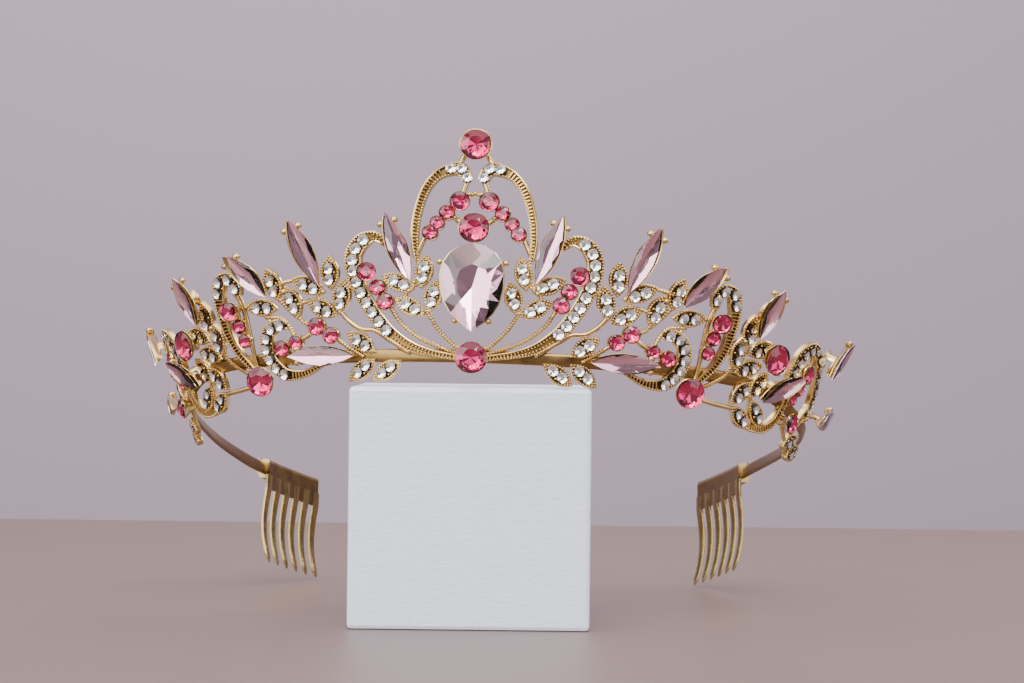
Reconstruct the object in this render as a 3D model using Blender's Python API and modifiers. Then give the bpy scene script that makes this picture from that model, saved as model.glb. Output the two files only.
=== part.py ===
"""A rhinestone tiara resting on a small display block.

The ornament is drawn flat, as if the tiara were unrolled on a bench: along is
the length from the middle of the band, up is the height above the band and
out is the standoff in front of it. The drawing is then bent round the band.
Drawing tables are in millimetres, and the scene is in metres.
"""

import math
from collections import namedtuple

import bmesh
import bpy
from mathutils import Matrix, Vector

MM = 0.001

# The display block
BLOCK_SIDE = 50.0
BLOCK_EDGE = 0.9
BLOCK_EDGE_STEPS = 2

# Joining and tidying of metal
FLAT_ANGLE = math.radians(0.3)
WELD = 0.0005
ON_PLANE = 0.001
NEAR_BAND = 0.01

# Where the tiara stands: its empty is at the front of the band
TIARA_PLACE = (0.2, -24.4, 56.5)
TIARA_YAW = -3.5
TIARA_TILT = -14.8

# The band, seen from above: radius and turn of its front, shoulder and side,
# with the left side bent in a little more than the right
RIGHT_ARCS = ((117.0, 22.6), (41.3, 74.8), (215.0, 45.0))
LEFT_ARCS = ((117.0, 22.6), (32.9, 61.5), (158.0, 45.0))
BAND_END = 172.2
BAND_HEIGHT = 2.8
BAND_BACK = -1.15
BAND_FRONT = -0.05
BAND_STEP = 8.0

# The ornament leans out most at its shoulders, and it is bent a little by hand
FLARE_MIDDLE = 6.0
FLARE_SHOULDER = 20.0
FLARE_END = -8.0
SHOULDER_AT = 55.0
END_RUN = 50.0
UPRIGHT_AT = 138.0
UPRIGHT_RUN = 32.0
BENT_BY_HAND = 0.016
BENT_UNTIL = 105.0
BENT_FADE = 35.0

# The band dips past its shoulders and comes up again a little towards the combs
DIP = 3.8
DIP_FROM = 56.0
DIP_RUN = 34.0
RISE = 1.1
RISE_FROM = 90.0
RISE_RUN = 50.0

# Metal: standoffs of the back and front of each kind of piece
ORNAMENT_METAL = (-0.35, 1.00)
STEM_METAL = (-0.35, 0.70)
CUP_TOP = 1.55
STEM_WIDTH = 1.15
CUP_RIM = 0.35
STONE_GAP = 0.32

# Leaves, each with two clear stones
LEAF_LENGTH = 7.4
LEAF_WIDTH = 3.8
LEAF_STATIONS = (-1.0, -0.6, 0.0, 0.6, 1.0)
CLEAR_STONE = 2.2
CLEAR_PITCH = 2.4
CLEAR_TABLE = 0.62
CLEAR_FOOT = 0.6
CLEAR_TOP = 1.65

# Small pink stones that are fused to their cups
PINK_TABLE = 0.6
PINK_GIRDLE = 1.3
PINK_TOP = 2.15

# Large stones, which lie in the cups and are pieces of their own
GIRDLE_RISE = 1.15
GIRDLE_THICK = 0.2
TABLE_RISE = 2.2
TABLE_SCALE = 0.56
TABLE_LENGTH = 0.62
CULET_SCALE = 0.5
MARQUISE_WIDTH = 4.0
PEAR_WIDTH = 12.8
PEAR_LENGTH = 18.4
PEAR_GIRDLE_RISE = 2.75
PEAR_TABLE_RISE = 4.6
PEAR_TABLE_SCALE = 0.62
PEAR_CULET_SCALE = 0.6
PEAR_FULLNESS = 2.9
PEAR_FLANK = (0.3, 0.55, 0.75, 0.9)
PRONG_BALL = 1.4
PRONG_RISE = 1.9
PRONG_STATION = 0.74
PRONG_SEAT = 0.5

# The combs at the ends of the band
COMB_FROM = 147.2
COMB_TO = 171.6
COMB_PLAY = 0.3
COMB_WALL = 0.6
COMB_PLATE_DEPTH = 6.2
RIGHT_TOOTH_TIP = -23.8
LEFT_TOOTH_TIP = -23.0
COMB_TEETH = 6
COMB_TOOTH_WIDTH = 1.4
COMB_BOW = 1.9
COMB_TIP_IN = 1.2
COMB_TOOTH_THICK = 0.54
COMB_TOOTH_ROOT = 0.6
COMB_TOOTH_STEPS = 5
COMB_TIP_SCALE = 0.6
COMB_TAB = 3.2
COMB_TAB_RISE = 0.9
COMB_TAB_THICK = 0.45
COMB_CUT = 1.0

Leaf = namedtuple("Leaf", "along up heading lift")
Ribbon = namedtuple("Ribbon", "path first last stones")
Round = namedtuple("Round", "along up size")
Long = namedtuple("Long", "along up tip_along tip_up lift")

LEAVES = {
    "a": Leaf(10.1, 17.4, 100, 0),
    "b": Leaf(15.3, 15.1, 25, 0),
    "c": Leaf(8.2, 12.2, 104, 0),
    "d": Leaf(12.9, 10.1, 30, 0),
    "e": Leaf(28.9, 17.5, 90, 0),
    "f": Leaf(33.5, 15.1, 28, 0),
    "g": Leaf(26.8, 12.4, 100, 0),
    "h": Leaf(31.0, 10.2, 30, 0),
    "i": Leaf(40.8, 15.9, 77, 0),
    "j": Leaf(37.1, 12.0, 71, 0),
    "k": Leaf(43.8, 11.3, 6, 0),
    "l": Leaf(23.1, 2.9, 37, 0),
    "m": Leaf(23.1, -2.9, -38, 0),
    "n": Leaf(17.8, -3.2, -34, 0),
    "o": Leaf(57.0, 10.8, 90, 0),
    "p": Leaf(60.8, 7.8, 32, 0),
    "q": Leaf(55.5, 5.8, 90, 0),
    "r": Leaf(59.0, 3.2, 26, 0),
    "s": Leaf(62.9, 0.6, 64, 0),
    "t": Leaf(59.1, -2.1, 55, 0),
    "u": Leaf(64.9, -5.2, -39, 0),
    "v": Leaf(60.8, -7.2, -27, 0),
    "w": Leaf(80.8, -5.6, 35, 0),
    "x": Leaf(84.1, -6.9, 35, 0),
}

# Ribbons: rows of along, up and width, then the first and last clear stone
RIBBONS = {
    "arch": Ribbon(
        ((11.7, 20.3, 1.2), (12.0, 24.4, 1.6), (11.6, 29.0, 1.7), (10.1, 34.2, 1.8),
         (7.8, 37.5, 2.0), (5.1, 39.0, 2.6), (2.9, 39.1, 2.8), (1.6, 37.2, 2.5)),
        (5.0, 38.9), (1.7, 37.0), 3),
    "hook_1": Ribbon(
        ((17.7, 23.0, 1.2), (19.7, 24.6, 2.2), (22.0, 24.0, 3.2), (23.6, 22.1, 3.4),
         (24.2, 20.0, 3.4), (24.1, 17.8, 3.3), (23.4, 15.0, 3.2), (21.8, 11.3, 3.1),
         (19.3, 7.3, 3.0), (16.6, 4.3, 2.8), (12.8, 1.8, 2.3), (8.4, 0.4, 1.6), (3.0, -0.5, 1.2)),
        (22.1, 24.1), (17.4, 5.2), 10),
    "scroll_1": Ribbon(
        ((38.8, 7.1, 1.6), (40.7, 7.3, 2.6), (42.6, 6.5, 3.0), (43.7, 4.7, 3.1),
         (44.0, 2.6, 3.1), (43.6, 0.5, 3.0), (42.3, -1.5, 3.0), (40.6, -3.0, 2.8),
         (38.1, -3.4, 2.2), (35.3, -3.0, 1.6), (31.8, -1.5, 1.0)),
        (40.2, 7.0), (40.5, -3.1), 7),
    "hook_2": Ribbon(
        ((48.4, 14.3, 1.6), (48.5, 16.6, 2.2), (49.9, 18.3, 2.5), (51.4, 17.9, 2.6),
         (52.1, 16.0, 2.7), (52.6, 13.6, 2.4), (52.7, 10.6, 2.2), (52.4, 6.4, 2.0),
         (51.0, 2.4, 1.8), (49.0, -0.5, 1.5), (47.6, -2.2, 1.2)),
        (48.6, 16.7), (52.0, 16.3), 3),
    "scroll_2": Ribbon(
        ((62.8, -8.4, 1.2), (65.5, -8.2, 1.7), (68.8, -7.0, 1.9), (71.3, -4.2, 1.9),
         (72.3, -0.6, 1.8), (72.2, 3.4, 1.7)),
        None, None, 0),
    "hook_3": Ribbon(
        ((71.7, 2.2, 1.7), (71.5, 6.2, 2.3), (72.3, 9.8, 2.8), (74.0, 12.4, 3.0),
         (76.6, 13.9, 3.0), (79.8, 12.7, 3.0), (82.2, 9.6, 2.8), (83.7, 6.0, 2.6),
         (83.4, 2.4, 2.2), (80.6, -1.2, 1.6)),
        None, None, 0),
}

# Stems and links: points along and up
STEMS = {
    "branch": ((11.6, 20.9), (10.2, 24.1), (9.0, 25.7), (7.5, 27.8), (5.7, 30.0), (2.8, 32.1)),
    "link_apex": ((3.0, 32.5), (2.2, 35.2), (1.7, 36.8)),
    "bead_bar": ((2.4, 33.4), (-0.3, 34.0)),
    "crest_lug": ((3.6, 39.6), (2.4, 42.0)),
    "mid_bar": ((2.4, 27.4), (5.2, 29.9)),
    "stem_1": ((9.5, 9.1), (7.0, 5.3), (3.8, 2.1), (2.4, 1.4)),
    "stem_2": ((16.9, 10.0), (14.6, 6.5), (10.5, 3.3), (5.6, 1.3), (2.8, 0.4)),
    "arch_foot": ((11.7, 21.0), (11.0, 17.8), (12.4, 14.4)),
    "link_ab": ((11.3, 14.9), (13.7, 12.8), (12.9, 10.5)),
    "smooth": ((27.6, 9.8), (25.7, 7.4), (23.1, 5.6), (20.1, 5.2), (17.3, 3.3), (13.2, 0.6)),
    "bar_h1g": ((26.4, 15.4), (23.6, 13.2)),
    "link_fh": ((30.8, 13.4), (31.6, 13.3), (31.6, 10.8)),
    "link_if": ((36.3, 16.4), (38.6, 16.0), (40.6, 15.4)),
    "link_hj": ((33.6, 11.9), (37.0, 11.0)),
    "j_stem": ((36.5, 9.3), (35.1, 7.4), (32.6, 6.4), (29.8, 4.5), (28.0, 3.4), (25.8, 1.8),
               (23.0, 0.0)),
    "ijk": ((40.4, 13.4), (38.3, 10.6), (36.2, 8.4)),
    "link_kc": ((43.1, 10.8), (42.4, 7.4)),
    "arc": ((43.2, 9.2), (39.8, 8.5), (38.1, 6.1), (37.3, 3.6)),
    "cp": ((43.0, 2.2), (40.9, 2.3), (37.5, 3.5), (34.5, 4.7), (32.6, 6.4)),
    "h2_stem": ((48.6, 14.3), (48.0, 12.1), (47.7, 9.4), (47.6, 5.3), (47.5, 0.1), (46.9, -2.9)),
    "h2_pinks": ((49.6, 11.5), (49.1, 7.9), (48.6, 4.7)),
    "q_stem": ((55.1, 3.3), (54.1, 0.7), (50.7, -1.9), (47.5, -3.7)),
    "low_stem": ((47.5, -5.0), (53.2, -5.7), (58.6, -5.9)),
    "u_root": ((61.4, -2.0), (63.4, -4.2)),
    "h3_pinks": ((71.6, -1.4), (74.0, 0.6), (75.2, 4.0), (76.2, 7.0), (77.0, 10.4), (77.0, 13.6)),
    "end_stem": ((74.6, -3.2), (78.0, -2.4), (81.0, -0.8)),
    "end_leaves": ((75.2, -4.2), (78.2, -6.0), (80.6, -8.0), (82.0, -8.2)),
    "end_leaf_x": ((82.4, -0.2), (86.4, 1.8)),
    "top_lift": ((81.6, 10.6), (83.6, 13.4)),
}

SMALL_PINKS = {
    "branch_2": Round(5.6, 29.8, 3.0),
    "branch_3": Round(7.5, 27.6, 2.8),
    "branch_4": Round(8.9, 25.5, 3.0),
    "hook_1_2": Round(19.3, 14.1, 3.2),
    "hook_1_3": Round(17.8, 11.1, 3.3),
    "j_stem_1": Round(32.3, 6.5, 3.5),
    "j_stem_2": Round(29.4, 4.5, 3.3),
    "scroll_1_1": Round(40.4, 2.4, 3.3),
    "scroll_1_2": Round(37.1, 3.5, 2.9),
    "hook_2_2": Round(49.1, 7.9, 3.0),
    "hook_2_3": Round(48.6, 4.7, 2.8),
    "hook_3_1": Round(76.7, 8.4, 4.0),
    "hook_3_2": Round(75.3, 4.7, 3.2),
    "hook_3_3": Round(74.0, 1.8, 2.8),
}

CENTRE_ROUNDS = {
    "crest_stone": Round(0.0, 44.2, 6.2),
    "middle_stone": Round(0.0, 26.4, 6.1),
    "base_stone": Round(0.0, -0.7, 6.4),
}
PEAR_UP = 13.6

SIDE_ROUNDS = {
    "lower_pink_stone": Round(45.7, -3.9, 6.2),
    "upper_pink_stone": Round(63.7, 7.0, 6.4),
    "end_pink_stone": Round(74.4, -3.2, 4.2),
    "branch_pink_stone": Round(2.9, 31.9, 4.0),
    "hook_1_pink_stone": Round(21.1, 17.3, 3.8),
    "hook_2_pink_stone": Round(49.6, 11.5, 4.0),
}

MARQUISES = {
    "marquise_stone_1": Long(12.5, 15.1, 17.6, 29.3, 0),
    "marquise_stone_2": Long(30.5, 15.0, 35.7, 29.0, 0),
    "marquise_stone_3": Long(41.4, 13.7, 48.5, 23.1, 0),
    "marquise_stone_4": Long(24.0, 0.1, 38.5, 0.8, 0),
    "marquise_stone_5": Long(57.6, 10.0, 60.3, 21.1, 0),
    "marquise_stone_6": Long(61.9, -2.1, 72.8, 6.0, 0.6),
    "marquise_stone_7": Long(80.6, 10.6, 89.5, 21.3, 0.8),
    "marquise_stone_8": Long(84.0, 0.6, 96.5, 6.6, 1.0),
}

PEAR_PRONGS = ((6.5, 19.0), (3.3, 6.7))


def remove_everything():
    """Start from an empty scene."""
    for thing in list(bpy.data.objects):
        bpy.data.objects.remove(thing, do_unlink=True)


def new_collection(name):
    """A collection under the scene's own."""
    collection = bpy.data.collections.new(name)
    bpy.context.scene.collection.children.link(collection)
    return collection


def new_material(name, colour, roughness, metallic):
    """A Principled material with a plain colour."""
    material = bpy.data.materials.new(name)
    material.use_nodes = True
    shader = material.node_tree.nodes["Principled BSDF"]
    shader.inputs["Base Color"].default_value = (*colour, 1.0)
    shader.inputs["Roughness"].default_value = roughness
    shader.inputs["Metallic"].default_value = metallic
    material.diffuse_color = (*colour, 1.0)
    return material


def bench_object(name, mesh):
    """A working piece that is joined or removed before the end."""
    piece = bpy.data.objects.new(name, mesh)
    piece.hide_render = True
    piece.display_type = "WIRE"
    bpy.data.collections["tiara_workshop"].objects.link(piece)
    return piece


def evaluated_mesh(piece):
    """The mesh of a curve, or of a piece with modifiers; the piece is removed."""
    bpy.context.view_layer.update()
    graph = bpy.context.evaluated_depsgraph_get()
    mesh = bpy.data.meshes.new_from_object(piece.evaluated_get(graph))
    mesh.transform(piece.matrix_world)
    bpy.data.objects.remove(piece, do_unlink=True)
    return mesh


def welded(mesh):
    """Join the loose caps of a mesh that was a curve, and make each cap one face."""
    work = bmesh.new()
    work.from_mesh(mesh)
    bmesh.ops.remove_doubles(work, verts=work.verts, dist=WELD)
    bmesh.ops.recalc_face_normals(work, faces=work.faces)
    join_flat_faces(work)
    work.to_mesh(mesh)
    work.free()
    return mesh


def join_flat_faces(work):
    """Join the neighbouring faces that lie in one plane."""
    bmesh.ops.dissolve_limit(work, angle_limit=FLAT_ANGLE, use_dissolve_boundaries=False,
                             verts=work.verts, edges=work.edges)


def tidied(mesh):
    """Drop the needless edges that a union leaves on flat faces."""
    work = bmesh.new()
    work.from_mesh(mesh)
    join_flat_faces(work)
    work.to_mesh(mesh)
    work.free()
    return mesh


def plate(name, outline, metal):
    """A flat outline, closed between its back and front standoffs."""
    low, high = metal
    curve = bpy.data.curves.new(name, "CURVE")
    curve.dimensions = "2D"
    curve.fill_mode = "BOTH"
    curve.extrude = (high - low) / 2
    spline = curve.splines.new("POLY")
    spline.points.add(len(outline) - 1)
    for point, (along, up) in zip(spline.points, outline):
        point.co = (along, up, 0.0, 1.0)
    spline.use_cyclic_u = True
    drawing = bench_object(name, curve)
    drawing.location.z = (low + high) / 2
    return bench_object(name, welded(evaluated_mesh(drawing)))


def ball(name, size, place):
    """The ball on a prong."""
    mesh = bpy.data.meshes.new(name)
    work = bmesh.new()
    bmesh.ops.create_icosphere(work, subdivisions=1, radius=size / 2,
                               matrix=Matrix.Translation(place))
    work.to_mesh(mesh)
    work.free()
    return bench_object(name, mesh)


def box(name, low, high):
    """A box between two corners."""
    mesh = bpy.data.meshes.new(name)
    work = bmesh.new()
    size = Vector(high) - Vector(low)
    centre = (Vector(high) + Vector(low)) / 2
    bmesh.ops.create_cube(work, matrix=Matrix.LocRotScale(centre, None, size))
    work.to_mesh(mesh)
    work.free()
    return bench_object(name, mesh)


def united(name, pieces):
    """One closed mesh made of pieces that overlap; the pieces are removed."""
    first, others = pieces[0], pieces[1:]
    group = bpy.data.collections.new(name + "_pieces")
    for piece in others:
        group.objects.link(piece)
    join = first.modifiers.new("join", "BOOLEAN")
    join.operation = "UNION"
    join.operand_type = "COLLECTION"
    join.collection = group
    join.solver = "EXACT"
    mesh = evaluated_mesh(first)
    for piece in others:
        bpy.data.objects.remove(piece, do_unlink=True)
    bpy.data.collections.remove(group)
    mesh.name = name
    return mesh


def every_face(work):
    """All faces."""
    return work.faces[:]


def sliced(mesh, start, end, step, wanted=every_face):
    """Cut the wanted faces of a mesh across, so that it can be bent."""
    work = bmesh.new()
    work.from_mesh(mesh)
    for index in range(1, math.ceil((end - start) / step)):
        faces = wanted(work)
        edges = {edge for face in faces for edge in face.edges}
        verts = {vert for face in faces for vert in face.verts}
        bmesh.ops.bisect_plane(work, geom=[*verts, *edges, *faces], plane_no=(1, 0, 0),
                               plane_co=(start + index * step, 0, 0), dist=ON_PLANE)
    work.to_mesh(mesh)
    work.free()
    return mesh


def plan_curve(along):
    """Place and heading of the band's outer face at a length from its middle."""
    x = y = heading = 0.0
    left = abs(along)
    for radius, turn in RIGHT_ARCS if along > 0 else LEFT_ARCS:
        step = min(left, radius * math.radians(turn))
        ahead = heading + step / radius
        x += radius * (math.sin(ahead) - math.sin(heading))
        y += radius * (math.cos(heading) - math.cos(ahead))
        heading = ahead
        left -= step
    x += left * math.cos(heading)
    y += left * math.sin(heading)
    return math.copysign(x, along), y, math.copysign(heading, along)


def eased(part):
    """A part from 0 to 1 that starts and ends gently."""
    part = min(1.0, max(0.0, part))
    return part * part * (3 - 2 * part)


def flare(along):
    """How far the ornament leans out, in radians."""
    to_shoulder = eased(abs(along) / SHOULDER_AT)
    to_end = min(1.0, max(0.0, abs(along) - SHOULDER_AT) / END_RUN)
    straight = min(1.0, max(0.0, (UPRIGHT_AT - abs(along)) / UPRIGHT_RUN))
    return math.radians(FLARE_MIDDLE + FLARE_SHOULDER * to_shoulder + FLARE_END * to_end) * straight


def on_tiara(along, up, out):
    """Bend a point of the flat drawing round the band."""
    x, y, heading = plan_curve(along)
    lean = flare(along)
    outward = up * math.sin(lean) + out * math.cos(lean)
    height = up * math.cos(lean) - out * math.sin(lean)
    fade = min(1.0, max(0.0, (BENT_UNTIL + BENT_FADE - abs(along)) / BENT_FADE))
    height -= BENT_BY_HAND * x * fade
    height -= DIP * eased((abs(along) - DIP_FROM) / DIP_RUN)
    height += RISE * eased((abs(along) - RISE_FROM) / RISE_RUN)
    return Vector((x + math.sin(heading) * outward, y - math.cos(heading) * outward, height))


def bent(mesh, side=1):
    """Bend a flat mesh round the band, on the right side or mirrored on the left."""
    work = bmesh.new()
    work.from_mesh(mesh)
    bmesh.ops.triangulate(work, faces=work.faces)
    for vert in work.verts:
        along, up, out = vert.co
        vert.co = on_tiara(side * along, up, out)
    if side < 0:
        bmesh.ops.reverse_faces(work, faces=work.faces)
    curved = bpy.data.meshes.new(mesh.name)
    work.to_mesh(curved)
    work.free()
    return curved


def stone_frame(along, up, heading, out, side=1):
    """Where a large stone lies: its length along X and its table towards Z."""
    along = side * along
    heading = heading if side > 0 else math.pi - heading
    rise = (on_tiara(along, up + 1.0, out) - on_tiara(along, up - 1.0, out)).normalized()
    across = on_tiara(along + 1.0, up, out) - on_tiara(along - 1.0, up, out)
    normal = across.cross(rise).normalized()
    axes = Matrix((rise.cross(normal), rise, normal)).transposed().to_4x4()
    return Matrix.Translation(on_tiara(along, up, out)) @ axes @ Matrix.Rotation(heading, 4, "Z")


def smooth_path(rows, pieces):
    """Points on a Catmull-Rom curve through the rows."""
    rows = [Vector(row) for row in rows]
    ends = [2 * rows[0] - rows[1], *rows, 2 * rows[-1] - rows[-2]]
    points = []
    for before, start, end, after in zip(ends, ends[1:], ends[2:], ends[3:]):
        for index in range(pieces):
            t = index / pieces
            points.append(0.5 * (2 * start + (end - before) * t
                                 + (2 * before - 5 * start + 4 * end - after) * t * t
                                 + (3 * start - before - 3 * end + after) * t * t * t))
    return points + [rows[-1]]


def ribbon_outline(points):
    """Both edges of a ribbon whose points hold along, up and width."""
    left = []
    right = []
    for index, point in enumerate(points):
        ahead = points[min(index + 1, len(points) - 1)]
        behind = points[max(index - 1, 0)]
        run = (ahead - behind).to_2d().normalized()
        edge = Vector((-run.y, run.x)) * point.z / 2
        left.append(point.to_2d() + edge)
        right.append(point.to_2d() - edge)
    return left + right[::-1]


def clear_stone(name, place, lift=0.0):
    """A small clear stone with a square table, sunk into the metal."""
    mesh = hull_mesh(name, ((circle(CLEAR_STONE, 6), CLEAR_FOOT + lift),
                            (circle(CLEAR_STONE * CLEAR_TABLE, 3, 0.25), CLEAR_TOP + lift)))
    mesh.transform(Matrix.Translation((*place, 0.0)))
    return bench_object(name, mesh)


def leaf_pieces(name, leaf):
    """An almond leaf and its two clear stones."""
    heading = math.radians(leaf.heading)
    axis = Vector((math.cos(heading), math.sin(heading)))
    across = Vector((-axis.y, axis.x))
    centre = Vector((leaf.along, leaf.up))
    edge = [(station, 1 - station * station) for station in LEAF_STATIONS]
    turn = edge + [(station, -width) for station, width in edge[-2:0:-1]]
    outline = [centre + axis * (station * LEAF_LENGTH / 2) + across * (width * LEAF_WIDTH / 2)
               for station, width in turn]
    pieces = [plate(name, outline, (ORNAMENT_METAL[0], ORNAMENT_METAL[1] + leaf.lift))]
    for end in (-1, 1):
        place = centre + axis * end * CLEAR_PITCH / 2
        pieces.append(clear_stone(name, place, leaf.lift))
    return pieces


def ribbon_pieces(name, ribbon):
    """A ribbon of metal and the clear stones in it, evenly spaced."""
    pieces = [plate(name, ribbon_outline([Vector(row) for row in ribbon.path]), ORNAMENT_METAL)]
    if not ribbon.stones:
        return pieces
    fine = [point.to_2d() for point in smooth_path(ribbon.path, 24)]
    begin = min(range(len(fine)), key=lambda i: (fine[i] - Vector(ribbon.first)).length)
    end = min(range(len(fine)), key=lambda i: (fine[i] - Vector(ribbon.last)).length)
    lengths = [0.0]
    for here, there in zip(fine[begin:end], fine[begin + 1:end + 1]):
        lengths.append(lengths[-1] + (there - here).length)
    for index in range(ribbon.stones):
        wanted = lengths[-1] * index / (ribbon.stones - 1)
        nearest = min(range(len(lengths)), key=lambda i: abs(lengths[i] - wanted))
        pieces.append(clear_stone(name, fine[begin + nearest]))
    return pieces


def stem_piece(name, points):
    """A stem of even width through its points."""
    rows = [Vector((along, up, STEM_WIDTH)) for along, up in points]
    return plate(name, ribbon_outline(rows), STEM_METAL)


def small_pink(name, pink):
    """A small pink stone fused to its cup, which has the stone's own sides."""
    girdle = circle(pink.size + CUP_RIM, 8)
    mesh = hull_mesh(name, ((girdle, ORNAMENT_METAL[0]), (girdle, PINK_GIRDLE),
                            (circle(pink.size * PINK_TABLE, 4, 0.25), PINK_TOP)))
    mesh.transform(Matrix.Translation((pink.along, pink.up, 0.0)))
    return bench_object(name, mesh)


def almond(length, width, points, shift=0.0):
    """Points of a marquise's outline, pointed at both ends."""
    outline = []
    for index in range(points):
        angle = 2 * math.pi * (index + shift) / points
        station = math.cos(angle)
        half = width / 2 * (1 - station * station)
        outline.append((length / 2 * station, math.copysign(half, math.sin(angle))))
    return outline


def circle(size, points, shift=0.0):
    """Points of a round outline."""
    angles = [2 * math.pi * (index + shift) / points for index in range(points)]
    return [(size / 2 * math.cos(angle), size / 2 * math.sin(angle)) for angle in angles]


def pear(length, width):
    """Points of a pear's outline, with its round end towards +X and its tip at -X."""
    round_at = length / 2 - width / 2
    tip_run = length - width / 2
    outline = []
    for index in range(9):
        angle = math.pi * (index / 8 - 0.5)
        outline.append((round_at + width / 2 * math.cos(angle), width / 2 * math.sin(angle)))
    flank = [(round_at - part * tip_run, width / 2 * (1 - part ** PEAR_FULLNESS))
             for part in PEAR_FLANK]
    outline += flank
    outline.append((-length / 2, 0.0))
    return outline + [(along, -half) for along, half in reversed(flank)]


def scaled(outline, scale):
    """An outline made smaller about its middle."""
    return [(along * scale, across * scale) for along, across in outline]


def cut_stone(name, girdle, table, culet, girdle_rise=GIRDLE_RISE, table_rise=TABLE_RISE):
    """A cut stone: the hull of its culet, girdle and table, in millimetres."""
    return hull_mesh(name, ((culet, 0.0), (girdle, girdle_rise),
                            (girdle, girdle_rise + GIRDLE_THICK), (table, table_rise)))


def hull_mesh(name, rings):
    """The faceted hull round flat outlines, each at its own height."""
    mesh = bpy.data.meshes.new(name)
    work = bmesh.new()
    for outline, height in rings:
        for along, across in outline:
            work.verts.new((along, across, height))
    bmesh.ops.convex_hull(work, input=work.verts)
    bmesh.ops.delete(work, geom=[vert for vert in work.verts if not vert.link_faces], context="VERTS")
    bmesh.ops.recalc_face_normals(work, faces=work.faces)
    work.to_mesh(mesh)
    work.free()
    return mesh


def long_axis(stone):
    """Middle, heading in radians and length of a long stone on the drawing."""
    run = Vector((stone.tip_along - stone.along, stone.tip_up - stone.up))
    middle = ((stone.along + stone.tip_along) / 2, (stone.up + stone.tip_up) / 2)
    return middle, math.atan2(run.y, run.x), run.length


def turned(outline, middle, heading):
    """An outline turned and moved to its place on the drawing."""
    turn = Matrix.Rotation(heading, 2)
    return [turn @ Vector(point) + Vector(middle) for point in outline]


def cup(name, outline, lift=0.0):
    """The solid back of a large stone's setting."""
    return plate(name, outline, (ORNAMENT_METAL[0], CUP_TOP + lift))


def round_cup(name, stone):
    """The cup of a large round stone."""
    outline = circle(stone.size + 2 * CUP_RIM, 10)
    return cup(name, turned(outline, (stone.along, stone.up), 0.0))


def marquise_setting(name, stone):
    """The cup of a marquise and the two ball prongs at its outer tip."""
    middle, heading, length = long_axis(stone)
    outline = almond(length + 2 * CUP_RIM, MARQUISE_WIDTH + 2 * CUP_RIM, 8)
    pieces = [cup(name + "_cup", turned(outline, middle, heading), stone.lift)]
    station = PRONG_STATION * length / 2
    reach = MARQUISE_WIDTH / 2 * (1 - PRONG_STATION ** 2) + PRONG_SEAT
    for place in turned([(station, reach), (station, -reach)], middle, heading):
        pieces.append(ball(name + "_prong", PRONG_BALL, (*place, PRONG_RISE + stone.lift)))
    return pieces


def pear_setting():
    """The cup of the pear and its four ball prongs."""
    outline = pear(PEAR_LENGTH + 2 * CUP_RIM, PEAR_WIDTH + 2 * CUP_RIM)
    pieces = [cup("pear_cup", turned(outline, (0.0, PEAR_UP), math.pi / 2))]
    for across, up in PEAR_PRONGS:
        for along in (across, -across):
            pieces.append(ball("pear_prong", PRONG_BALL, (along, up, PRONG_RISE)))
    return pieces


def side_pieces():
    """The pieces of the drawing's right half."""
    pieces = [stem_piece(name, points) for name, points in STEMS.items()]
    for name, leaf in LEAVES.items():
        pieces += leaf_pieces(name, leaf)
    for name, ribbon in RIBBONS.items():
        pieces += ribbon_pieces(name, ribbon)
    for name, pink in SMALL_PINKS.items():
        pieces.append(small_pink(name, pink))
    for name, stone in MARQUISES.items():
        pieces += marquise_setting(name, stone)
    for name, stone in SIDE_ROUNDS.items():
        pieces.append(round_cup(name + "_cup", stone))
    return pieces


def mirrored(piece):
    """The left twin of a piece of the drawing."""
    mesh = piece.data.copy()
    mesh.transform(Matrix.Scale(-1, 4, (1, 0, 0)))
    mesh.flip_normals()
    return bench_object(piece.name, mesh)


def band_faces(work):
    """The faces of the band itself, which run its whole length."""
    half = BAND_HEIGHT / 2 + NEAR_BAND
    front = BAND_FRONT + NEAR_BAND
    return [face for face in work.faces
            if all(abs(vert.co.y) < half and vert.co.z < front for vert in face.verts)]


def build_frame_mesh():
    """The band, the ornament with its small stones, and the settings."""
    pieces = side_pieces()
    pieces += [mirrored(piece) for piece in pieces]
    for name, stone in CENTRE_ROUNDS.items():
        pieces.append(round_cup(name + "_cup", stone))
    pieces += pear_setting()
    pieces.append(box("band", (-BAND_END, -BAND_HEIGHT / 2, BAND_BACK),
                      (BAND_END, BAND_HEIGHT / 2, BAND_FRONT)))
    drawing = tidied(united("tiara_frame", pieces))
    return bent(sliced(drawing, -BAND_END, BAND_END, BAND_STEP, band_faces))


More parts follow.
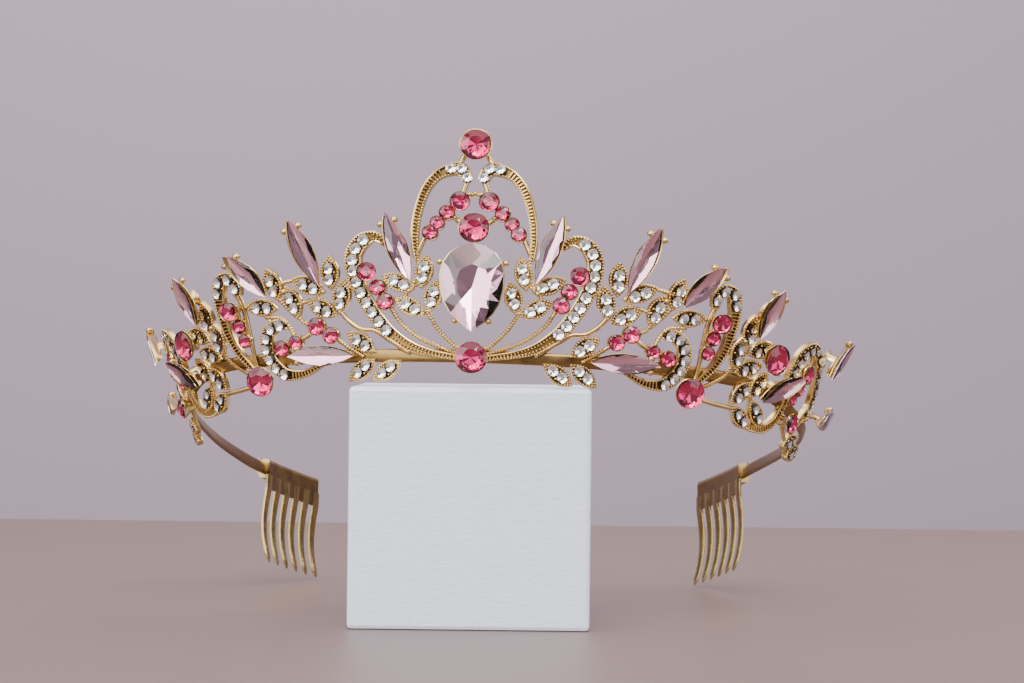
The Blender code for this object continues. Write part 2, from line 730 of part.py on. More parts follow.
def comb_mesh(tip):
    """A stamped comb with its sleeve round the band and teeth down to a tip, drawn flat."""
    half = BAND_HEIGHT / 2
    hollow = COMB_PLAY
    skin = COMB_PLAY + COMB_WALL
    sleeve = box("sleeve", (COMB_FROM, -half - skin, BAND_BACK - skin),
                 (COMB_TO, half + skin, BAND_FRONT + skin))
    tab = box("tab", (COMB_FROM, half, BAND_FRONT + hollow),
              (COMB_FROM + COMB_TAB, half + skin + COMB_TAB_RISE, BAND_FRONT + skin + COMB_TAB_THICK))
    middle = (BAND_BACK + BAND_FRONT) / 2
    back = box("back", (COMB_FROM, -COMB_PLATE_DEPTH, middle - COMB_WALL / 2),
               (COMB_TO, -half - hollow - COMB_WALL / 2, middle + COMB_WALL / 2))
    pieces = [sleeve, tab, back]
    pitch = (COMB_TO - COMB_FROM - COMB_TOOTH_WIDTH) / (COMB_TEETH - 1)
    for index in range(COMB_TEETH):
        place = COMB_FROM + COMB_TOOTH_WIDTH / 2 + index * pitch
        pieces.append(tooth(place, middle, tip))
    solid = bench_object("comb", united("comb", pieces))
    core = box("core", (COMB_FROM - COMB_CUT, -half - hollow, BAND_BACK - hollow),
               (COMB_TO + COMB_CUT, half + hollow, BAND_FRONT + hollow))
    cut = solid.modifiers.new("core", "BOOLEAN")
    cut.operation = "DIFFERENCE"
    cut.object = core
    cut.solver = "EXACT"
    mesh = evaluated_mesh(solid)
    bpy.data.objects.remove(core, do_unlink=True)
    return sliced(mesh, COMB_FROM, COMB_TO, BAND_STEP)


def tooth(place, middle, tip):
    """A tooth that bows out and turns in again at its tip, on a flat profile."""
    profile = bpy.data.curves.new("tooth_profile", "CURVE")
    profile.dimensions = "2D"
    edge = profile.splines.new("POLY")
    edge.points.add(3)
    corners = ((-1, -1), (1, -1), (1, 1), (-1, 1))
    for point, (across, out) in zip(edge.points, corners):
        point.co = (across * COMB_TOOTH_WIDTH / 2, out * COMB_TOOTH_THICK / 2, 0.0, 1.0)
    edge.use_cyclic_u = True
    section = bench_object("tooth_profile", profile)
    curve = bpy.data.curves.new("tooth", "CURVE")
    curve.dimensions = "3D"
    curve.bevel_mode = "OBJECT"
    curve.bevel_object = section
    curve.use_fill_caps = True
    root = -COMB_PLATE_DEPTH + COMB_TOOTH_ROOT
    spline = curve.splines.new("POLY")
    spline.points.add(COMB_TOOTH_STEPS)
    for index, point in enumerate(spline.points):
        part = index / COMB_TOOTH_STEPS
        up = root + part * (tip - root)
        out = middle + COMB_BOW * math.sin(math.pi * part) - COMB_TIP_IN * part ** 3
        point.co = (place, up, out, 1.0)
        point.radius = 1.0 if index < COMB_TOOTH_STEPS else COMB_TIP_SCALE
    piece = bench_object("tooth", curve)
    mesh = welded(evaluated_mesh(piece))
    bpy.data.objects.remove(section, do_unlink=True)
    return bench_object("tooth", mesh)


def finished(name, mesh, material, parent=None, frame=None):
    """A piece of the tiara in metres, with its material, under its parent."""
    mesh.transform(Matrix.Scale(MM, 4))
    mesh.materials.clear()
    mesh.materials.append(material)
    piece = bpy.data.objects.new(name, mesh)
    bpy.data.collections["tiara_on_display_block"].objects.link(piece)
    if parent:
        piece.parent = parent
    if frame:
        piece.location = frame.to_translation() * MM
        piece.rotation_euler = frame.to_euler()
    return piece


def build_block(material):
    """The covered cube, with soft edges."""
    mesh = bpy.data.meshes.new("display_block")
    work = bmesh.new()
    bmesh.ops.create_cube(work, size=BLOCK_SIDE)
    work.to_mesh(mesh)
    work.free()
    block = finished("display_block", mesh, material)
    block.location.z = BLOCK_SIDE / 2 * MM
    edges = block.modifiers.new("soft_edges", "BEVEL")
    edges.width = BLOCK_EDGE * MM
    edges.segments = BLOCK_EDGE_STEPS
    return block


def build_combs(material, tiara):
    """Both combs, bent to the band's ends."""
    for name, side, tip in (("comb_right", 1, RIGHT_TOOTH_TIP), ("comb_left", -1, LEFT_TOOTH_TIP)):
        finished(name, bent(comb_mesh(tip), side), material, tiara)


def build_large_stones(pink, rose, tiara):
    """The stones that lie in the cups."""
    out = CUP_TOP + STONE_GAP
    for name, stone in CENTRE_ROUNDS.items():
        place_round(name, stone, 1, out, pink, tiara)
    for side, word in ((1, "right"), (-1, "left")):
        for name, stone in SIDE_ROUNDS.items():
            place_round(f"{name}_{word}", stone, side, out, pink, tiara)
        for name, stone in MARQUISES.items():
            middle, heading, length = long_axis(stone)
            frame = stone_frame(*middle, heading, out + stone.lift, side)
            girdle = almond(length, MARQUISE_WIDTH, 10)
            table = almond(length * TABLE_LENGTH, MARQUISE_WIDTH * TABLE_SCALE, 6)
            culet = almond(length * TABLE_LENGTH, MARQUISE_WIDTH * CULET_SCALE, 4)
            mesh = cut_stone(name, girdle, table, culet)
            finished(f"{name}_{word}", mesh, rose, tiara, frame)
    girdle = pear(PEAR_LENGTH, PEAR_WIDTH)
    mesh = cut_stone("pear_stone", girdle, scaled(girdle[::2], PEAR_TABLE_SCALE),
                     scaled(girdle[::2], PEAR_CULET_SCALE), PEAR_GIRDLE_RISE, PEAR_TABLE_RISE)
    finished("pear_stone", mesh, rose, tiara, stone_frame(0.0, PEAR_UP, math.pi / 2, out))


def place_round(name, stone, side, out, material, tiara):
    """A large round stone in its cup."""
    mesh = cut_stone(name, circle(stone.size, 12), circle(stone.size * TABLE_SCALE, 6, 0.5),
                     circle(stone.size * CULET_SCALE, 6, 0.5))
    frame = stone_frame(stone.along, stone.up, 0.0, out, side)
    finished(name, mesh, material, tiara, frame)


def main():
    """Build the block and the tiara."""
    remove_everything()
    new_collection("tiara_on_display_block")
    workshop = new_collection("tiara_workshop")
    gold = new_material("pale_gold", (0.79, 0.60, 0.36), 0.25, 1.0)
    comb_gold = new_material("comb_gold", (0.72, 0.53, 0.30), 0.32, 1.0)
    leatherette = new_material("white_leatherette", (0.72, 0.73, 0.78), 0.5, 0.0)
    pink = new_material("pink_glass", (0.85, 0.30, 0.32), 0.05, 0.0)
    rose = new_material("rose_glass", (0.72, 0.42, 0.48), 0.06, 0.0)
    tiara = bpy.data.objects.new("tiara", None)
    bpy.data.collections["tiara_on_display_block"].objects.link(tiara)
    tiara.location = Vector(TIARA_PLACE) * MM
    tiara.rotation_euler = (math.radians(TIARA_TILT), 0.0, math.radians(TIARA_YAW))
    build_block(leatherette)
    finished("tiara_frame", build_frame_mesh(), gold, tiara)
    build_combs(comb_gold, tiara)
    build_large_stones(pink, rose, tiara)
    bpy.data.collections.remove(workshop)


main()
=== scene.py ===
"""The looks of a rhinestone tiara on a small display block.

The metalwork is drawn flat, as if the tiara were unrolled on a bench: along is
the length from the middle of the band, up is the height above the band and
out is the standoff in front of it, all in millimetres. The drawing is then
bent round the band, as in the CAD part. The scene itself is in metres.
"""

import math
from collections import namedtuple

import bpy
import numpy as np
from mathutils import Euler, Matrix, Vector


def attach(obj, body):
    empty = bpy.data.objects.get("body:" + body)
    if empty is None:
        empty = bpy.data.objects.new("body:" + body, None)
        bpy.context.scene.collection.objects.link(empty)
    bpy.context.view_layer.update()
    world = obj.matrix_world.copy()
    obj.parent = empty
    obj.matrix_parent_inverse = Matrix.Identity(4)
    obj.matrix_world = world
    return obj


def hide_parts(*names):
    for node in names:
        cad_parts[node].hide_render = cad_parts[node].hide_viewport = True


bl_info = {
    "name": "Tiara on a display block",
    "version": (1, 0, 0),
    "blender": (4, 5, 0),
    "location": "View3D > Sidebar > Tiara",
    "description": "Builds the metalwork, stones, stand and studio of a rhinestone tiara",
    "category": "Object",
}

MM = 0.001

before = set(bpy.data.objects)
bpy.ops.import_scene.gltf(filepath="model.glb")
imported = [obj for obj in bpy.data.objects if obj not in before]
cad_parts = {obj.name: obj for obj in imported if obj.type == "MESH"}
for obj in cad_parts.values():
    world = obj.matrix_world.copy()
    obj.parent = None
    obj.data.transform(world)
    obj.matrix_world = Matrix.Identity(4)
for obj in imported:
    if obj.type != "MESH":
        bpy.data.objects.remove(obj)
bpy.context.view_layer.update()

# Where the tiara stands, and the radius and turn of each arc of its band
TIARA_PLACE = (0.2, -24.4, 56.5)
TIARA_YAW = -3.5
TIARA_TILT = -14.8
RIGHT_ARCS = ((117.0, 22.6), (41.3, 74.8), (215.0, 45.0))
LEFT_ARCS = ((117.0, 22.6), (32.9, 61.5), (158.0, 45.0))
BAND_END = 172.2
BAND_HEIGHT = 2.8
BAND_BACK = -1.15
BAND_FRONT = -0.05
BAND_SQUARENESS = 0.7

# The ornament leans out most at its shoulders, and it is bent a little by hand
FLARE_MIDDLE = 6.0
FLARE_SHOULDER = 20.0
FLARE_END = -8.0
SHOULDER_AT = 55.0
END_RUN = 50.0
UPRIGHT_AT = 138.0
UPRIGHT_RUN = 32.0
BENT_BY_HAND = 0.016
BENT_UNTIL = 105.0
BENT_FADE = 35.0

# The band dips past its shoulders and comes up again a little towards the combs
DIP = 3.8
DIP_FROM = 56.0
DIP_RUN = 34.0
RISE = 1.1
RISE_FROM = 90.0
RISE_RUN = 50.0

# Standoffs of the metal
METAL_BACK = -0.35
FLOOR_OUT = 0.2
RIM_OUT = 0.72
SEAT_OUT = 1.87
GIRDLE_RISE = 1.15
GIRDLE_OUT = SEAT_OUT + GIRDLE_RISE
PEAR_GIRDLE_RISE = 2.75
CLEAR_OUT = 0.95
SMALL_PINK_OUT = 1.28
GRAIN_OUT = FLOOR_OUT + 0.3

# Leaves: the plate's outline is drawn in by an inset at each standoff, more so
# at the tips. Grains: station, side, standoff and radius.
LEAF_LENGTH = 7.4
LEAF_WIDTH = 3.8
LEAF_POINTS = 32
TIP_INSET = 3.4
LEAF_RINGS = ((0.1, METAL_BACK), (0.0, METAL_BACK + 0.1), (0.0, RIM_OUT - 0.12), (0.1, RIM_OUT),
              (0.5, RIM_OUT), (0.58, RIM_OUT - 0.1), (0.62, FLOOR_OUT))
LEAF_BEADS = (0.27, RIM_OUT + 0.05)
LEAF_GRAINS = ((2.45, 0.0, GRAIN_OUT, 0.3), (2.1, 0.42, GRAIN_OUT, 0.3),
               (2.1, -0.42, GRAIN_OUT, 0.3), (-2.45, 0.0, GRAIN_OUT, 0.3),
               (0.0, 0.95, RIM_OUT + 0.15, 0.28), (0.0, -0.95, RIM_OUT + 0.15, 0.28))

# Ribbons: their rims, and the ribs, grains and beads in their channels
RIBBON_RIM = 0.42
RIBBON_RIM_SHARE = 0.27
RIM_LEVELS = (METAL_BACK, RIM_OUT - 0.1, RIM_OUT, FLOOR_OUT, FLOOR_OUT, RIM_OUT, RIM_OUT - 0.1,
              METAL_BACK)
# Slot 1 marks the channel's walls and floor, which get the darker gold of painted shade
RIM_SHADE_SLOTS = [0, 0, 1, 1, 1, 0, 0, 0]
RIBBON_BEADS = (0.22, RIM_OUT + 0.04)
EDGE_WIRE = (0.24, RIM_OUT - 0.02)
RIB_PITCH = 0.74
RIB = (0.22, RIM_OUT - 0.08)
RIB_MARGIN = 0.34
SHORTEST_RIB = 0.12
STONE_CLEARANCE = 1.45
CHANNEL_GRAIN = 0.26
CORNER_BEAD = (0.27, RIM_OUT + 0.12)
CORNER_MARGIN = 0.5

# Wires: a rope's thickness swells once in each pitch, and an end is rounded by
# two rings, given as how far on they lie and how thick they are, in radii
STEM_RADIUS = 0.529
STEM_OUT = 0.225
ROPE_STEPS = 4
ROPE_MEAN = 0.86
ROPE_SWELL = 0.18
WIRE_END = ((0.92, 0.35), (0.6, 0.8))

# A cup from its foot over its rim into its bowl: shares of the foot's and the
# outline's size, share of the height and millimetres more
CUP = ((0.9, 0.0, 0.0, 0.0), (1.0, 0.0, 0.0, 0.1), (1.0, 0.0, 0.35, 0.0),
       (0.75, 0.245, 0.545, 0.0), (0.4, 0.588, 0.72, 0.0), (0.15, 0.833, 0.845, 0.0),
       (0.0, 1.0, 1.0, -0.12), (0.0, 1.0, 1.0, -0.05), (0.0, 0.98, 1.0, 0.0),
       (0.0, 0.95, 1.0, -0.04), (0.0, 0.6, 0.7, 0.0), (0.0, 0.3, 0.55, 0.0))
ROUND_FOOT = 0.5
PEAR_FOOT = 0.7
# How much wider than the stone a cup is, and how far its rim lies under the girdle
ROUND_RIM = (0.2, 0.1)
CREST_RIM = (0.4, 0.02)
PEAR_RIM_SUNK = 0.25
# A small pink's cup: share of the stone's size, millimetres more, and standoff
SMALL_CUP = ((1.0, 0.0, METAL_BACK), (1.0, 0.3, METAL_BACK + 0.2), (1.0, 0.3, 1.15),
             (1.0, 0.1, 1.3), (1.0, -0.1, 1.2), (0.4, 0.0, 0.1))
# A marquise's boat: shares of its length and width, and depths below its rim
BOAT = ((0.7, 0.12, 1.75), (0.82, 0.5, 1.3), (0.93, 0.8, 0.7), (1.0, 1.0, 0.15), (1.0, 1.0, 0.06),
        (0.99, 0.97, 0.0), (0.975, 0.92, 0.05), (0.7, 0.5, 0.9), (0.4, 0.25, 1.3))
BOAT_MARGIN = (0.4, 0.3)
# The post under it and the post's flared ends: shares of its length and width.
# The post runs from above the metal's back to below the rim of the cup.
POST = (0.2, 0.3)
POST_END = (0.4, 0.42)
POST_ABOVE_BACK = 0.9
POST_BELOW_RIM = 1.2
POST_END_BELOW_RIM = 0.9

# Points of the outlines
CUP_POINTS = 32
SMALL_CUP_POINTS = 20
POST_POINTS = 16
LARGE_PINK_POINTS = 32
STONE_POINTS = 16

# Ball prongs and single beads
PRONG_BALL = 1.4
PRONG_STATION = 0.74
PRONG_SEAT = 0.5
PRONG_STALK = 0.38
STALK_UNDER = 0.6
STALK_RUN = 0.9
MARQUISE_PRONG_OUT = 2.3
PEAR_PRONG_OUT = 3.4
PEAR_PRONG_ROOT = 0.82
PEAR_PRONGS = ((6.5, 19.0), (3.3, 6.7))
JOINT_BEAD_OUT = 0.75
JOINT_BEADS = ((10.9, 17.0, 1.3), (0.0, 34.0, 1.0), (1.2, 33.8, 1.0), (3.9, 28.8, 1.0),
               (13.0, 13.3, 1.2), (38.6, 14.2, 1.2), (30.4, 13.6, 1.1), (56.3, 8.6, 1.1))

# Stones. Each is spun a little from the last, so that no two flash alike.
CLEAR_STONE = 2.3
CLEAR_STATIONS = (-1.4, 0.9)
CLEAR_SPIN = 0.7
TWIN_SPIN = 0.2
PINK_SPIN = 0.5
MARQUISE_WIDTH = 4.0
PEAR_WIDTH = 12.8
PEAR_LENGTH = 18.4
PEAR_UP = 13.6
PEAR_FLANK = (0.25, 0.48, 0.68, 0.83, 0.94)
PEAR_FULLNESS = 2.9

# The combs at the ends of the band
COMB_FROM = 147.2
COMB_TO = 171.6
COMB_PROUD = 0.9
COMB_WALL = 0.6
COMB_SQUARENESS = 0.4
COMB_PLATE_DEPTH = 5.0
COMB_TAB = 3.2
TAB_TOP = 0.4
TAB_SUNK = 0.2
TAB_PROUD = 0.25
SLAB_EDGE = 0.12
RIGHT_TOOTH_TIP = -23.8
LEFT_TOOTH_TIP = -23.0
COMB_TEETH = 6
TEETH_MARGIN = 0.7
TOOTH_ROOT = -1.6
TOOTH_STEPS = 18
TOOTH_POINTS = 12
TOOTH_HALF_WIDTH = 1.4
TOOTH_HALF_THICK = 0.45
TOOTH_TAPER = 0.35
TOOTH_SQUARENESS = 0.6
TOOTH_TIP_FROM = 0.88
TIP_NARROWING = 0.92
TIP_THINNING = 0.6
COMB_BOW = 0.9
COMB_TIP_IN = 1.2

# The studio, in metres. The camera is in millimetres and degrees.
CAMERA_PLACE = (8.4, -583.0, 59.6)
CAMERA_ROLL = -0.65
CAMERA_LENS = 95.4
SENSOR = 36.0
TABLE_END = 0.3
WALL_AT = 0.95
WALL_FOOT = -0.6
STAGE_HALF = 2.0
SKY = "D2CED4"
SKY_STRENGTH = 0.45

Ribbon = namedtuple("Ribbon", "path first last stones beaded channel", defaults=(1, "ribs"))
Long = namedtuple("Long", "along up tip_along tip_up lift")
Cut = namedtuple("Cut", "table crown girdle thick depth star pavilion", defaults=(0.8, 0.24))

CLEAR_CUT = Cut(table=0.5, crown=0.13, girdle=0.16, thick=0.05, depth=0.16)
PEAR_CUT = Cut(0.5, 0.78, PEAR_GIRDLE_RISE, 0.15, 0.88, star=0.76, pavilion=0.45)
MARQUISE_CUT = Cut(0.42, 0.28, GIRDLE_RISE, 0.12, 0.25, star=0.72, pavilion=0.4)
SMALL_PINK_CUT = Cut(0.5, None, 0.1, 0.08, None)
SMALL_PINK_SHARES = {"crown": 0.1, "depth": 0.12}
LARGE_PINK_CUT = Cut(0.52, 0.6, GIRDLE_RISE, 0.12, None, pavilion=0.5)
LARGE_PINK_SHARES = {"depth": 0.14}

# Square lights: place, the point they face, width, power in watts and colour
LIGHTS = {
    "key": ((-0.5, -0.75, 0.5), (0.0, 0.0, 0.07), 0.8, 10.0, "FFFDFB"),
    "fill": ((0.8, -0.6, 0.25), (0.0, 0.0, 0.06), 0.7, 4.0, "F8F7FF"),
    "side": ((-0.9, -0.2, 0.35), (0.0, 0.0, 0.06), 0.6, 3.0, "FBFAFF"),
    "front": ((0.1, -0.72, 0.74), (0.0, 0.0, 0.07), 0.4, 6.5, "FFFFFF"),
    "top": ((0.0, -0.25, 0.9), (0.0, 0.0, 0.05), 1.0, 6.0, "FFFFFF"),
    "rim": ((0.4, 0.24, 0.35), (0.0, 0.0, 0.08), 0.15, 1.2, "FFF6EA"),
    "wall_wash": ((0.0, 0.4, 1.0), (0.0, WALL_AT, 0.1), 1.2, 12.0, "FBF8FF"),
}

# Leaves: along, up and heading in degrees
LEAVES = (
    (10.1, 17.4, 100), (15.3, 15.1, 25), (8.2, 12.2, 104), (12.9, 10.1, 30), (28.9, 17.5, 90),
    (33.5, 15.1, 28), (26.8, 12.4, 100), (31.0, 10.2, 30), (40.8, 15.9, 77), (37.1, 12.0, 71),
    (43.8, 11.3, 6), (23.1, 2.9, 37), (23.1, -2.9, -38), (17.8, -3.2, -34), (57.0, 10.8, 90),
    (60.8, 7.8, 32), (55.5, 5.8, 90), (59.0, 3.2, 26), (62.9, 0.6, 64), (59.1, -2.1, 55),
    (64.9, -5.2, -39), (60.8, -7.2, -27), (80.8, -5.6, 35), (84.1, -6.9, 35),
)

# Ribbons: rows of along, up and width, the first and last clear stone, how
# many there are, the beaded side (1 left, -1 right) and the channel's finish
RIBBONS = {
    "arch": Ribbon(
        ((11.7, 20.3, 1.2), (12.0, 24.4, 1.6), (11.6, 29.0, 1.7), (10.1, 34.2, 1.8),
         (7.8, 37.5, 2.0), (5.1, 39.0, 2.6), (2.9, 39.1, 2.8), (1.6, 37.2, 2.5)),
        (5.0, 38.9), (1.7, 37.0), 3),
    "hook_1": Ribbon(
        ((17.7, 23.0, 1.2), (19.7, 24.6, 2.2), (22.0, 24.0, 3.2), (23.6, 22.1, 3.4),
         (24.2, 20.0, 3.4), (24.1, 17.8, 3.3), (23.4, 15.0, 3.2), (21.8, 11.3, 3.1),
         (19.3, 7.3, 3.0), (16.6, 4.3, 2.8), (12.8, 1.8, 2.3), (8.4, 0.4, 1.6), (3.0, -0.5, 1.2)),
        (22.1, 24.1), (17.4, 5.2), 10, channel="grains"),
    "scroll_1": Ribbon(
        ((38.8, 7.1, 1.6), (40.7, 7.3, 2.6), (42.6, 6.5, 3.0), (43.7, 4.7, 3.1),
         (44.0, 2.6, 3.1), (43.6, 0.5, 3.0), (42.3, -1.5, 3.0), (40.6, -3.0, 2.8),
         (38.1, -3.4, 2.2), (35.3, -3.0, 1.6), (31.8, -1.5, 1.0)),
        (40.2, 7.0), (40.5, -3.1), 7),
    "hook_2": Ribbon(
        ((48.4, 14.3, 1.6), (48.5, 16.6, 2.2), (49.9, 18.3, 2.5), (51.4, 17.9, 2.6),
         (52.1, 16.0, 2.7), (52.6, 13.6, 2.4), (52.7, 10.6, 2.2), (52.4, 6.4, 2.0),
         (51.0, 2.4, 1.8), (49.0, -0.5, 1.5), (47.6, -2.2, 1.2)),
        (48.6, 16.0), (52.1, 15.4), 4),
    "scroll_2": Ribbon(
        ((62.8, -8.4, 1.2), (65.5, -8.2, 1.7), (68.8, -7.0, 1.9), (71.3, -4.2, 1.9),
         (72.3, -0.6, 1.8), (72.2, 3.4, 1.7)),
        None, None, 0, beaded=-1),
    "hook_3": Ribbon(
        ((71.7, 2.2, 1.7), (71.5, 6.2, 2.3), (72.3, 9.8, 2.8), (74.0, 12.4, 3.0),
         (76.6, 13.9, 3.0), (79.8, 12.7, 3.0), (82.2, 9.6, 2.8), (83.7, 6.0, 2.6),
         (83.4, 2.4, 2.2), (80.6, -1.2, 1.6)),
        (71.6, 6.8), (83.4, 2.4), 11),
}

# Stems: points of along and up, from the middle of the tiara outwards
SMOOTH_STEMS = (
    ((11.6, 20.9), (10.2, 24.1), (9.0, 25.7), (7.5, 27.8), (5.7, 30.0), (2.8, 32.1)),
    ((3.0, 32.5), (2.2, 35.2), (1.7, 36.8)),
    ((2.4, 33.4), (-0.3, 34.0)),
    ((3.6, 39.6), (2.4, 42.0)),
    ((2.4, 27.4), (5.2, 29.9)),
    ((27.6, 9.8), (25.7, 7.4), (23.1, 5.6), (20.1, 5.2), (17.3, 3.3), (13.2, 0.6)),
    ((43.0, 2.2), (40.9, 2.3), (37.5, 3.5), (34.5, 4.7), (32.6, 6.4)),
    ((48.6, 14.3), (48.0, 12.1), (47.7, 9.4), (47.6, 5.3), (47.5, 0.1), (46.9, -2.9)),
    ((49.6, 11.5), (49.1, 7.9), (48.6, 4.7)),
    ((47.5, -5.0), (53.2, -5.7), (58.6, -5.9)),
    ((61.4, -2.0), (63.4, -4.2)),
    ((71.6, -1.4), (74.0, 0.6), (75.2, 4.0), (76.2, 7.0), (77.0, 10.4), (77.0, 13.6)),
    ((81.6, 10.6), (83.6, 13.4)),
)
ROPED_STEMS = (
    ((9.5, 9.1), (7.0, 5.3), (3.8, 2.1), (2.4, 1.4)),
    ((16.9, 10.0), (14.6, 6.5), (10.5, 3.3), (5.6, 1.3), (2.8, 0.4)),
    ((11.7, 21.0), (11.0, 17.8), (12.4, 14.4)),
    ((11.3, 14.9), (13.7, 12.8), (12.9, 10.5)),
    ((26.4, 15.4), (23.6, 13.2)),
    ((30.8, 13.4), (31.6, 13.3), (31.6, 10.8)),
    ((36.3, 16.4), (38.6, 16.0), (40.6, 15.4)),
    ((33.6, 11.9), (37.0, 11.0)),
    ((36.5, 9.3), (35.1, 7.4), (32.6, 6.4), (29.8, 4.5), (28.0, 3.4), (25.8, 1.8), (23.0, 0.0)),
    ((40.4, 13.4), (38.3, 10.6), (36.2, 8.4)),
    ((43.1, 10.8), (42.4, 7.4)),
    ((43.2, 9.2), (39.8, 8.5), (38.1, 6.1), (37.3, 3.6)),
    ((55.1, 3.3), (54.1, 0.7), (50.7, -1.9), (47.5, -3.7)),
    ((74.6, -3.2), (78.0, -2.4), (81.0, -0.8)),
    ((75.2, -4.2), (78.2, -6.0), (80.6, -8.0), (82.0, -8.2)),
    ((82.4, -0.2), (86.4, 1.8)),
)

# Round pink stones: along, up and width
SMALL_PINKS = (
    (5.6, 29.8, 3.0), (7.5, 27.6, 2.8), (8.9, 25.5, 3.0), (19.3, 14.1, 3.2), (17.8, 11.1, 3.3),
    (32.3, 6.5, 3.5), (29.4, 4.5, 3.3), (40.4, 2.4, 3.3), (37.1, 3.5, 2.9), (49.1, 7.9, 3.0),
    (48.6, 4.7, 2.8), (76.7, 8.4, 4.0), (75.3, 4.7, 3.2), (74.0, 1.8, 2.8),
)
CENTRE_ROUNDS = {
    "crest_stone": (0.0, 44.0, 6.2),
    "middle_stone": (0.0, 26.4, 6.1),
    "base_stone": (0.0, -0.7, 6.4),
}
SIDE_ROUNDS = {
    "lower_pink_stone": (45.7, -3.9, 6.2),
    "upper_pink_stone": (63.7, 7.0, 6.4),
    "end_pink_stone": (74.4, -3.2, 4.2),
    "branch_pink_stone": (2.9, 31.9, 4.0),
    "hook_1_pink_stone": (21.1, 17.3, 3.8),
    "hook_2_pink_stone": (49.6, 11.5, 4.0),
}

# Marquises, numbered as the CAD nodes are
MARQUISES = (
    Long(12.5, 15.1, 17.6, 29.3, 0),
    Long(30.5, 15.0, 35.7, 29.0, 0),
    Long(41.4, 13.7, 48.5, 23.1, 0),
    Long(24.0, 0.1, 38.5, 0.8, 0),
    Long(57.6, 10.0, 60.3, 21.1, 0),
    Long(61.9, -2.1, 72.8, 6.0, 0.6),
    Long(80.6, 10.6, 89.5, 21.3, 0.8),
    Long(84.0, 0.6, 96.5, 6.6, 1.0),
)

SIDES = {"right": 1, "left": -1}

TIARA = (Matrix.Translation(Vector(TIARA_PLACE))
         @ Euler((math.radians(TIARA_TILT), 0.0, math.radians(TIARA_YAW))).to_matrix().to_4x4())


class TiaraSizes(bpy.types.PropertyGroup):
    """Sizes of the fine metalwork."""

    bead: bpy.props.FloatProperty(
        name="Bead", description="Width of a milgrain bead", default=0.5 * MM, unit="LENGTH")
    bead_pitch: bpy.props.FloatProperty(
        name="Bead pitch", description="Distance between milgrain beads", default=0.62 * MM,
        unit="LENGTH")
    wire: bpy.props.FloatProperty(
        name="Wire", description="Width of a ribbon's smooth edge wire", default=0.5 * MM,
        unit="LENGTH")
    rope_pitch: bpy.props.FloatProperty(
        name="Rope pitch", description="Distance between the ribs of a roped stem",
        default=0.62 * MM, unit="LENGTH")
    grain: bpy.props.FloatProperty(
        name="Leather grain", description="Width of a wrinkle in the block's covering",
        default=0.9 * MM, unit="LENGTH")


class TiaraColours(bpy.types.PropertyGroup):
    """Colours of the finishes, as sRGB hex."""

    gold: bpy.props.StringProperty(
        name="Gold", description="Pale gold plating", default="DCBC7C")
    # Painted shade: a darker brown gold put on the channel and leaf floors, where shade falls in
    # the recesses
    recess_shade: bpy.props.StringProperty(
        name="Wash", description="Darker plating in the recesses", default="8E6F40")
    comb_gold: bpy.props.StringProperty(
        name="Comb gold", description="Plating of the stamped combs", default="B09A66")
    # Painted shade: a darker brown gold for the band and the combs' back plates, which lie in
    # shade behind the ornament
    shaded_gold: bpy.props.StringProperty(
        name="Worn gold", description="Browner plating of the band and the combs' plates",
        default="92764A")
    cover: bpy.props.StringProperty(
        name="Cover", description="White leatherette of the block", default="E6EDFF")
    pink: bpy.props.StringProperty(
        name="Pink", description="Coral pink glass", default="D43B73")
    rose: bpy.props.StringProperty(
        name="Rose", description="Pale rose glass", default="F5C2D1")
    clear: bpy.props.StringProperty(
        name="Clear", description="Clear glass", default="FFFFFF")
    floor: bpy.props.StringProperty(
        name="Floor", description="Plain table", default="705C55")
    wall: bpy.props.StringProperty(
        name="Wall", description="Plain backdrop", default="AA97A4")


# Bending the drawing round the band

def plan_curve(along):
    """Place and heading of the band's outer face at lengths from its middle."""
    x = np.zeros_like(along)
    y = np.zeros_like(along)
    heading = np.zeros_like(along)
    left = np.abs(along)
    for right_arc, left_arc in zip(RIGHT_ARCS, LEFT_ARCS):
        radius = np.where(along > 0, right_arc[0], left_arc[0])
        turn = np.where(along > 0, right_arc[1], left_arc[1])
        step = np.minimum(left, radius * np.radians(turn))
        ahead = heading + step / radius
        x = x + radius * (np.sin(ahead) - np.sin(heading))
        y = y + radius * (np.cos(heading) - np.cos(ahead))
        heading = ahead
        left = left - step
    x = x + left * np.cos(heading)
    y = y + left * np.sin(heading)
    return np.copysign(x, along), y, np.copysign(heading, along)


def eased(part):
    """Parts from 0 to 1 that start and end gently."""
    part = np.clip(part, 0.0, 1.0)
    return part * part * (3 - 2 * part)


def flare(along):
    """How far the ornament leans out, in radians."""
    to_shoulder = eased(np.abs(along) / SHOULDER_AT)
    to_end = np.clip((np.abs(along) - SHOULDER_AT) / END_RUN, 0.0, 1.0)
    straight = np.clip((UPRIGHT_AT - np.abs(along)) / UPRIGHT_RUN, 0.0, 1.0)
    return np.radians(FLARE_MIDDLE + FLARE_SHOULDER * to_shoulder + FLARE_END * to_end) * straight


def on_tiara(points):
    """Bend points of the flat drawing round the band, still in millimetres."""
    points = np.asarray(points, float)
    along, up, out = points.T
    x, y, heading = plan_curve(along)
    lean = flare(along)
    outward = up * np.sin(lean) + out * np.cos(lean)
    fade = np.clip((BENT_UNTIL + BENT_FADE - np.abs(along)) / BENT_FADE, 0.0, 1.0)
    height = up * np.cos(lean) - out * np.sin(lean) - BENT_BY_HAND * x * fade
    height -= DIP * eased((np.abs(along) - DIP_FROM) / DIP_RUN)
    height += RISE * eased((np.abs(along) - RISE_FROM) / RISE_RUN)
    return np.column_stack([x + np.sin(heading) * outward, y - np.cos(heading) * outward, height])


